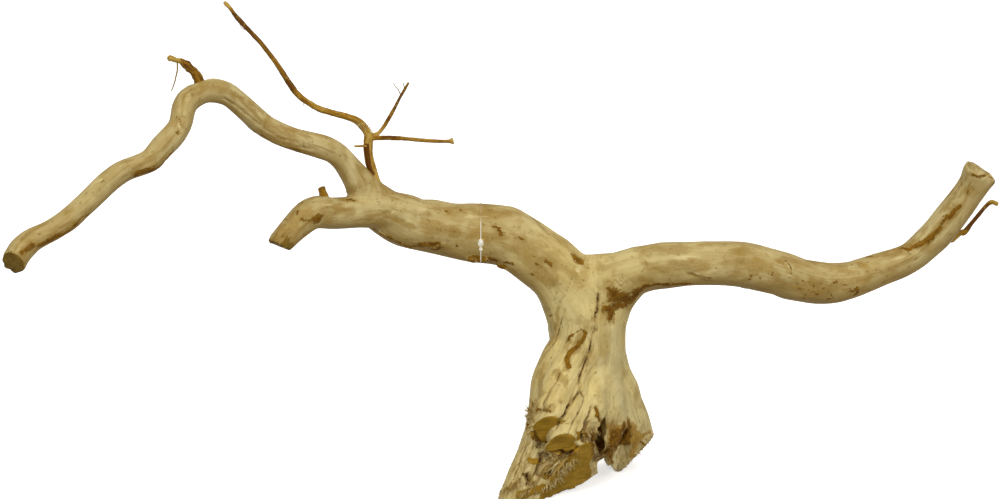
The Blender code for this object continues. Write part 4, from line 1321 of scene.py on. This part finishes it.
# %% Where the fibres stand
# Each fringe: its root line in pixels, the way it leans in pixels, shortest and longest in mm, how many,
# how far they scatter in pixels, their thickness in mm, how far they stand off, and how brown they are
FRINGES = [
    ([(532, 424), (532, 414), (537, 407)], (-3, -7), (3.0, 8.0), 70, 2.4, 0.75, 0.3, 0.5),
    ([(533, 432), (531, 420), (534, 411)], (-7, 0.5), (2.0, 5.5), 60, 2.2, 0.75, 0.4, 0.65),
    ([(542, 411), (551, 409)], (-1, -5), (2.0, 5.0), 40, 1.8, 0.42, 0.5, 0.7),
    ([(558, 418), (565, 425)], (3, -2), (2.0, 4.0), 12, 1.5, 0.28, 0.6, 0.2),
    ([(532, 436), (540, 444), (548, 443)], (-3, 6), (2.0, 5.0), 34, 1.6, 0.32, 0.3, 0.5),
    (
        [(598, 300), (596, 322), (591, 345), (584, 369), (580, 387)],
        (-1.2, 6), (2.0, 6.0), 60, 1.3, 0.2, 0.2, 0.2,
    ),
    ([(580, 391), (571, 402), (562, 418), (555, 428)], (-3, 6), (2.0, 6.0), 34, 1.2, 0.24, 0.2, 0.2),
    ([(585, 398), (579, 413), (568, 434)], (-3, 6), (2.0, 6.0), 34, 1.2, 0.24, 0.2, 0.2),
    ([(591, 408), (586, 424), (582, 440)], (-2, 6), (2.5, 6.0), 36, 1.8, 0.28, 0.3, 0.35),
    ([(545, 454), (556, 456), (568, 454), (578, 449)], (-3, 6), (3.0, 7.0), 34, 2.0, 0.5, 0.25, 0.35),
    ([(545, 462), (553, 466), (562, 462), (570, 457)], (-4, 5), (4.0, 9.0), 26, 3.0, 0.6, 0.16, 0.3),
    ([(546, 461), (555, 465), (564, 461)], (-4, 5), (6.0, 13.0), 26, 3.4, 1.5, 0.06, 0.1),
    ([(540, 470), (550, 474), (558, 471)], (-5, 5), (4.0, 9.0), 22, 3.0, 0.8, 0.16, 0.25),
    (
        [(577, 457), (567, 467), (558, 480), (547, 486), (535, 491)],
        (4, 4), (2.0, 5.5), 70, 1.8, 0.42, 0.5, 0.35,
    ),
    ([(574, 459), (566, 466), (556, 479), (545, 485)], (2, 5), (2.5, 6.0), 60, 1.6, 0.8, 0.35, 0.2),
    ([(574, 460), (564, 472), (553, 483)], (-4, 2), (2.5, 6.0), 14, 2.2, 0.5, 0.4, 0.2),
    ([(530, 472), (520, 478), (511, 484), (503, 489)], (-2.5, 7), (3.0, 8.0), 70, 3.2, 0.5, 0.3, 0.35),
    ([(536, 478), (530, 488), (522, 493)], (-3, 5), (2.5, 7.0), 50, 2.6, 0.6, 0.4, 0.3),
    ([(531, 440), (523, 456), (515, 472)], (-3.4, 7), (4.0, 9.0), 50, 5.0, 0.5, 0.06, 0.25),
    ([(594, 438), (596, 447)], (0.6, 8), (9.0, 14.0), 9, 1.8, 0.36, 0.25, 0.0),
    ([(588, 426), (598, 430), (606, 438)], (1, 7), (3.0, 8.0), 46, 2.5, 0.32, 0.3, 0.6),
    ([(600, 442), (606, 454), (612, 462)], (1, 6), (2.0, 5.0), 30, 2.2, 0.32, 0.35, 0.7),
    (
        [(616, 465), (627, 460), (638, 451), (647, 440), (651, 433)],
        (4, 5), (2.0, 4.5), 90, 2.2, 0.36, 0.3, 0.35,
    ),
    ([(612, 448), (622, 447), (634, 439), (645, 428)], (3, 7), (4.0, 9.0), 80, 6.0, 0.26, 0.12, 0.25),
    ([(975, 166), (984, 172), (992, 175)], (5, 4), (1.5, 4.0), 26, 1.4, 0.34, 0.35, 0.45),
    ([(388, 232), (394, 240), (404, 244)], (4, 4), (1.5, 3.0), 16, 1.2, 0.28, 0.4, 0.6),
    ([(468, 257), (476, 259), (488, 258)], (5, 3), (2.0, 4.0), 20, 1.2, 0.34, 0.4, 0.55),
    ([(272, 241), (279, 246), (288, 247)], (-3, 4), (1.0, 2.5), 20, 1.0, 0.28, 0.3, 0.5),
]
ROOTED = 0.5 * MM
FIBRE_STEPS = (0.0, 0.25, 0.5, 0.75, 1.0)
LEAN_SCATTER = 0.28


def strand(root, normal, way, length, radius, stand_off):
    """A fibre as rows of x, y, z and radius, from just below the surface to its thin tip."""
    way = (way - normal * way.dot(normal)).normalized()
    bow = normal.cross(way) * chance.uniform(-0.4, 0.4)
    rows = []
    for t in FIBRE_STEPS:
        spot = root - normal * ROOTED * (1 - t) + (way * t + (normal * stand_off + bow) * t * t) * length
        rows.append((spot.x, spot.y, max(spot.z, radius), radius * max(1.0 - t, 0.15) ** 0.7))
    return np.array(rows)


wood_tree = BVHTree.FromObject(skin, bpy.context.evaluated_depsgraph_get())
chance = random.Random(5)
strands, browns = [], []
for line, lean, (short, long), count, scatter, thick, stand_off, brown in FRINGES:
    for k in range(count):
        at = chance.random() * (len(line) - 1)
        a, b = Vector(line[int(at)]), Vector(line[int(at) + 1])
        px, py = a.lerp(b, at % 1.0) + Vector((chance.gauss(0, scatter / 2), chance.gauss(0, scatter / 2)))
        root, normal = wood_tree.ray_cast(EYE, sight(px, py).normalized())[:2]
        if root is None:
            continue
        way = Vector((lean[0], 0.0, 0.0)) - SIGHT_UP * lean[1]
        scattered = Vector((chance.gauss(0, 1), chance.gauss(0, 1), chance.gauss(0, 1)))
        way += scattered * way.length * LEAN_SCATTER
        radius = thick * MM * chance.uniform(0.5, 1.3)
        length = chance.uniform(short, long) * MM
        off = stand_off * chance.uniform(0.2, 1.4)
        strands.append(strand(root, normal, way, length, radius, off))
        browns.append(brown + chance.uniform(-0.3, 0.3))
print(len(strands), "fibres in", len(FRINGES), "fringes")

# %% Fibres of the unseen back, and the mesh of them all
BACK_FIBRES = 170
BACK_TURNED = 0.1
FIBRE_HEIGHTS = (2.0 * MM, 42.0 * MM)
turned_away = facing @ np.array(SIGHT) > BACK_TURNED
low = (places[:, 2] > FIBRE_HEIGHTS[0]) & (places[:, 2] < FIBRE_HEIGHTS[1])
low_back = np.flatnonzero(turned_away & low)
for k in range(BACK_FIBRES):
    seat = int(low_back[chance.randrange(len(low_back))])
    root, normal = Vector(places[seat]), Vector(facing[seat])
    way = Vector((chance.gauss(0, 0.3), chance.gauss(0, 0.3), -1.0))
    length, radius = chance.uniform(2.0, 7.0) * MM, chance.uniform(0.15, 0.4) * MM
    strands.append(strand(root, normal, way, length, radius, chance.uniform(0.05, 0.4)))
    browns.append(chance.uniform(0.0, 0.7))


def strand_mesh(name, strands, browns):
    """All the strands as one mesh that remembers how brown each of them is."""
    made = tube_mesh(name, strands, 0)
    each = len(made.vertices) // len(strands)
    write_one(made, "brown", np.repeat(browns, each))
    return made


fibre_mesh = strand_mesh("torn_fibres", strands, browns)
print(len(strands), "fibres,", len(fibre_mesh.vertices), "vertices,", len(fibre_mesh.polygons), "faces")

# %% Torn wood fibre
# Fibres torn from sapwood are dull and pale straw, and brown where bark or old rot sticks to them
fibre_finish, tree, shader = new_finish("torn_wood_fibre", "cdb982", 0.75)
brown_at = add(tree, "ShaderNodeAttribute", {"attribute_name": "brown"}, {}).outputs["Fac"]
colour = paint(tree, "d3bf84", [(brown_at, 0.0, 0.45, 1.0, "a98942"), (brown_at, 0.5, 1.0, 1.0, "6a4810")])
tree.links.new(colour, shader.inputs["Base Color"])
shader.inputs["Specular IOR Level"].default_value = 0.2
as_piece("torn_fibres", fibre_mesh, fibre_finish, "driftwood")
print("fibre finish has", len(tree.nodes), "nodes")

# %% [markdown]
# ## Hairs on the twigs
# Rootlets as fine as thread hang from the bend and the tips, and the fork of the twigs is frayed where
# a twig tore off. Each rootlet is drawn as a line of pixels at the depth of the twig that carries it.

# %% Rootlets and the frayed fork
# Pixels, depth in mm and radius in mm
ROOTLETS = [
    (
        [
            (177.2, 61), (177.5, 68), (177, 72.5), (176, 76), (175, 81), (173.7, 85), (172.4, 88.6),
            (171.4, 90.8),
        ],
        -34, 0.62,
    ),
    ([(401, 96), (398.5, 90), (395, 86), (393.4, 82.7)], 35.5, 0.42),
    ([(405, 90), (404, 86), (403, 82.7)], 38, 0.4),
    ([(245, 30), (241, 27), (239.5, 24)], 50, 0.3), ([(300, 97), (304, 101), (303, 106)], 34, 0.3),
]
ROOTLET_TAPER = 0.4
ROOTLET_BROWN = 0.7
ROOTLET_POINTS = 12
FRAYED_LINE = [(355, 122), (364, 125), (371, 131), (373, 136)]
FRAYED_FIBRES = 64
FORK_DEPTH = 20.0 * MM
FRAYED_OFF = 0.5
twig_surface = mesh_tree(twig_meshes["twig_long"])
hair_rows = []
for pixels, back, radius in ROOTLETS:
    knots = []
    for k, (px, py) in enumerate(pixels):
        taper = 1.0 - ROOTLET_TAPER * k / len(pixels)
        knots.append((*at_depth(px, py, back * MM), radius * MM * taper))
    line = fine_line(knots)
    rows = np.arange(len(line))
    picked = np.linspace(0, len(line) - 1, ROOTLET_POINTS)
    hair_rows.append(np.stack([np.interp(picked, rows, line[:, k]) for k in range(4)], 1))
rootlet_mesh = strand_mesh("rootlets", hair_rows, [ROOTLET_BROWN] * len(hair_rows))
strands, browns = [], []
for k in range(FRAYED_FIBRES):
    at = chance.random() * (len(FRAYED_LINE) - 1)
    px, py = Vector(FRAYED_LINE[int(at)]).lerp(Vector(FRAYED_LINE[int(at) + 1]), at % 1.0)
    root, normal = twig_surface.find_nearest(on_skin(twig_surface, px, py, FORK_DEPTH))[:2]
    way = Vector((chance.uniform(-1, 1), chance.uniform(-1, 1), chance.uniform(-1, 1)))
    length, radius = chance.uniform(2.0, 5.0) * MM, chance.uniform(0.16, 0.36) * MM
    strands.append(strand(root, normal, way, length, radius, FRAYED_OFF))
    browns.append(chance.uniform(-0.2, 0.6))
frayed_mesh = strand_mesh("frayed_fork", strands, browns)
for name, made in {"rootlets": rootlet_mesh, "frayed_fork": frayed_mesh}.items():
    as_piece(name, made, fibre_finish, "driftwood")
print(len(hair_rows), "rootlets and", len(strands), "frayed fibres")

# %% [markdown]
# ## The tag loop
# Shops hang a tag on such wood with a loop of clear nylon thread that snaps shut in a small bead. It is
# drawn tight, so its line is the taut outline of the arm's section, found with rays from its middle.

# %% The line of the thread
LOOP_AT = (-66.8, 185.0, 9.0)
LOOP_POINTS = 90
THREAD_RADIUS = 0.42 * MM
THREAD_GAP = 0.12 * MM
OUTSIDE = 60.0 * MM
core = stand(*LOOP_AT)
turns = np.linspace(0, math.tau, LOOP_POINTS, endpoint=False)
ways = [Vector((0.0, math.sin(t), math.cos(t))) for t in turns]
section = [wood_tree.ray_cast(core + way * OUTSIDE, -way)[0] - core for way in ways]
# A taut thread touches the outermost points only, and its slope gives how far it slides sideways
taut = np.array([max(spot.dot(way) for spot in section) for way in ways])
slope = (np.roll(taut, -1) - np.roll(taut, 1)) / (2 * math.tau / LOOP_POINTS)
thread = []
for way, reach, lean in zip(ways, taut, slope):
    side = Vector((0.0, way.z, -way.y))
    thread.append(core + way * (reach + THREAD_RADIUS + THREAD_GAP) + side * lean)
around = sum((thread[k] - thread[k - 1]).length for k in range(LOOP_POINTS))
print("the thread is", round(around / MM), "mm long")

# %% Thread, bead and pin of the loop
THREAD_SIDES = 12
# Height in mm, radius in mm and upright stretch
BEADS = {"bead": (183.6, 2.3, 1.32), "pin": (179.2, 1.3, 1.1)}
BEAD_DEPTH = 0.85
BEAD_SUNK = 0.8
bm = bmesh.new()
rings = []
for k, spot in enumerate(thread):
    way = (thread[(k + 1) % LOOP_POINTS] - thread[k - 1]).normalized()
    ring = bmesh.ops.create_circle(bm, cap_ends=False, radius=THREAD_RADIUS, segments=THREAD_SIDES)["verts"]
    turn = way.to_track_quat("Z", "X").to_matrix().to_4x4()
    turn.translation = spot
    bmesh.ops.transform(bm, verts=ring, matrix=turn)
    rings.append(sorted({edge for vert in ring for edge in vert.link_edges}, key=lambda edge: edge.index))
for k in range(LOOP_POINTS):
    bmesh.ops.bridge_loops(bm, edges=rings[k] + rings[(k + 1) % LOOP_POINTS])
front = [spot for spot in thread if spot.y < LOOP_AT[2] * MM]
for up, radius, stretch in BEADS.values():
    level = stand(LOOP_AT[0], up, LOOP_AT[2]).z
    seat = min(front, key=lambda spot: abs(spot.z - level))
    ball = bmesh.ops.create_uvsphere(bm, u_segments=24, v_segments=16, radius=radius * MM)["verts"]
    bmesh.ops.scale(bm, verts=ball, vec=Vector((1.0, BEAD_DEPTH, stretch)))
    forward = Vector((0.0, THREAD_RADIUS - BEAD_SUNK * radius * MM, 0.0))
    bmesh.ops.translate(bm, verts=ball, vec=seat + forward)
bmesh.ops.recalc_face_normals(bm, faces=bm.faces)
loop_mesh = bpy.data.meshes.new("nylon_loop")
bm.to_mesh(loop_mesh)
bm.free()
print("loop has", len(loop_mesh.polygons), "faces")

# %% Extruded clear nylon
# Glassy but slightly cloudy, so it shows as a whitish line on the wood. On the upper half of the arm it
# can't be made out in the photograph, so it takes the colour of the wood there
CLEAR_ABOVE = 194.0
CLEAR_FADE = 4.0 * MM
loop_finish, tree, shader = new_finish("clear_nylon", "eef0ea", 0.22)
shader.inputs["IOR"].default_value = 1.53
own = add(tree, "ShaderNodeTexCoord", {}, {}).outputs["Object"]
rise = add(tree, "ShaderNodeSeparateXYZ", {}, {0: own}).outputs[2]
clear_z = stand(LOOP_AT[0], CLEAR_ABOVE, -LOOP_AT[2]).z
(cloudy,) = patterns(tree, own, [((4.0, 4.0, 4.0), 2.0, 0.50)])
layers = [
    (cloudy, 0.35, 0.70, 1.0, "ddd8c4"),
    (rise, clear_z - CLEAR_FADE, clear_z + CLEAR_FADE, 1.0, "c9b176"),
]
tree.links.new(paint(tree, "f2efe2", layers), shader.inputs["Base Color"])
for socket, (field, low, high, least, most) in {
    "Transmission Weight": (rise, clear_z - CLEAR_FADE, clear_z + CLEAR_FADE, 0.45, 0.60),
    "Roughness": (cloudy, 0.30, 0.70, 0.18, 0.34),
}.items():
    inputs = {"Value": field, "From Min": low, "From Max": high, "To Min": least, "To Max": most}
    tree.links.new(add(tree, "ShaderNodeMapRange", SOFT_STEP, inputs).outputs[0], shader.inputs[socket])
loop_piece = as_piece("nylon_loop", loop_mesh, loop_finish, "tag_loop")
# A clear thread hardly shades the wood behind it
loop_piece.visible_shadow = False
print("nylon finish has", len(tree.nodes), "nodes")

# %% [markdown]
# ## Floor and light
# The photograph is taken on white, with soft light from above and in front. The floor is a plain pale
# sheet. It doesn't throw light back up, as the undersides in the photograph are clearly darker.

# %% Floor
FLOOR_SIZE = 14.0
FLOOR_DROP = 0.05 * MM
FLOOR_GLOW = 0.6
floor_mesh = bpy.data.meshes.new("floor")
bm = bmesh.new()
bmesh.ops.create_grid(bm, x_segments=1, y_segments=1, size=FLOOR_SIZE)
bm.to_mesh(floor_mesh)
bm.free()
floor = into_scene("floor", floor_mesh)
floor.location.z = -FLOOR_DROP
floor_finish, _, floor_shader = new_finish("pale_paper", "f6f6f4", 0.9)
floor_shader.inputs["Emission Color"].default_value = linear("ffffff")
floor_shader.inputs["Emission Strength"].default_value = FLOOR_GLOW
floor_mesh.materials.append(floor_finish)
floor.visible_diffuse = False
print("floor", 2 * FLOOR_SIZE, "m wide")

# %% World and lamps
# How bright the sky is, from this height of its dome up to that one
SKY_HEIGHTS = (-0.5, 0.6)
SKY_LIGHT = (0.14, 0.62)
world = bpy.data.worlds.new("studio")
bpy.context.scene.world = world
world.use_nodes = True
sky = world.node_tree
dome = add(sky, "ShaderNodeTexCoord", {}, {}).outputs["Generated"]
height = add(sky, "ShaderNodeSeparateXYZ", {}, {0: dome}).outputs[2]
inputs = {"Value": height, "From Min": SKY_HEIGHTS[0], "From Max": SKY_HEIGHTS[1]}
inputs |= {"To Min": SKY_LIGHT[0], "To Max": SKY_LIGHT[1]}
lightness = add(sky, "ShaderNodeMapRange", {}, inputs).outputs[0]
sky.nodes["Background"].inputs["Color"].default_value = linear("ffffff")
sky.links.new(lightness, sky.nodes["Background"].inputs["Strength"])

# Each lamp: its place in m, its width in m and its power in W
LAMPS = {
    "key": ((-0.9, -2.2, 1.7), 1.6, 24.0),
    "fill": ((1.4, -2.1, 1.1), 1.8, 27.0),
    "top": ((0.0, 0.2, 2.6), 2.2, 12.0),
}
for name, (spot, size, power) in LAMPS.items():
    lamp = bpy.data.lights.new(name, "AREA")
    lamp.shape = "DISK"
    lamp.size = size
    lamp.energy = power
    holder = into_scene(name, lamp)
    holder.location = spot
    holder.rotation_euler = (AIM - Vector(spot)).to_track_quat("-Z", "Y").to_euler()
bpy.context.scene.view_settings.view_transform = "Standard"
print(len(LAMPS), "lamps")
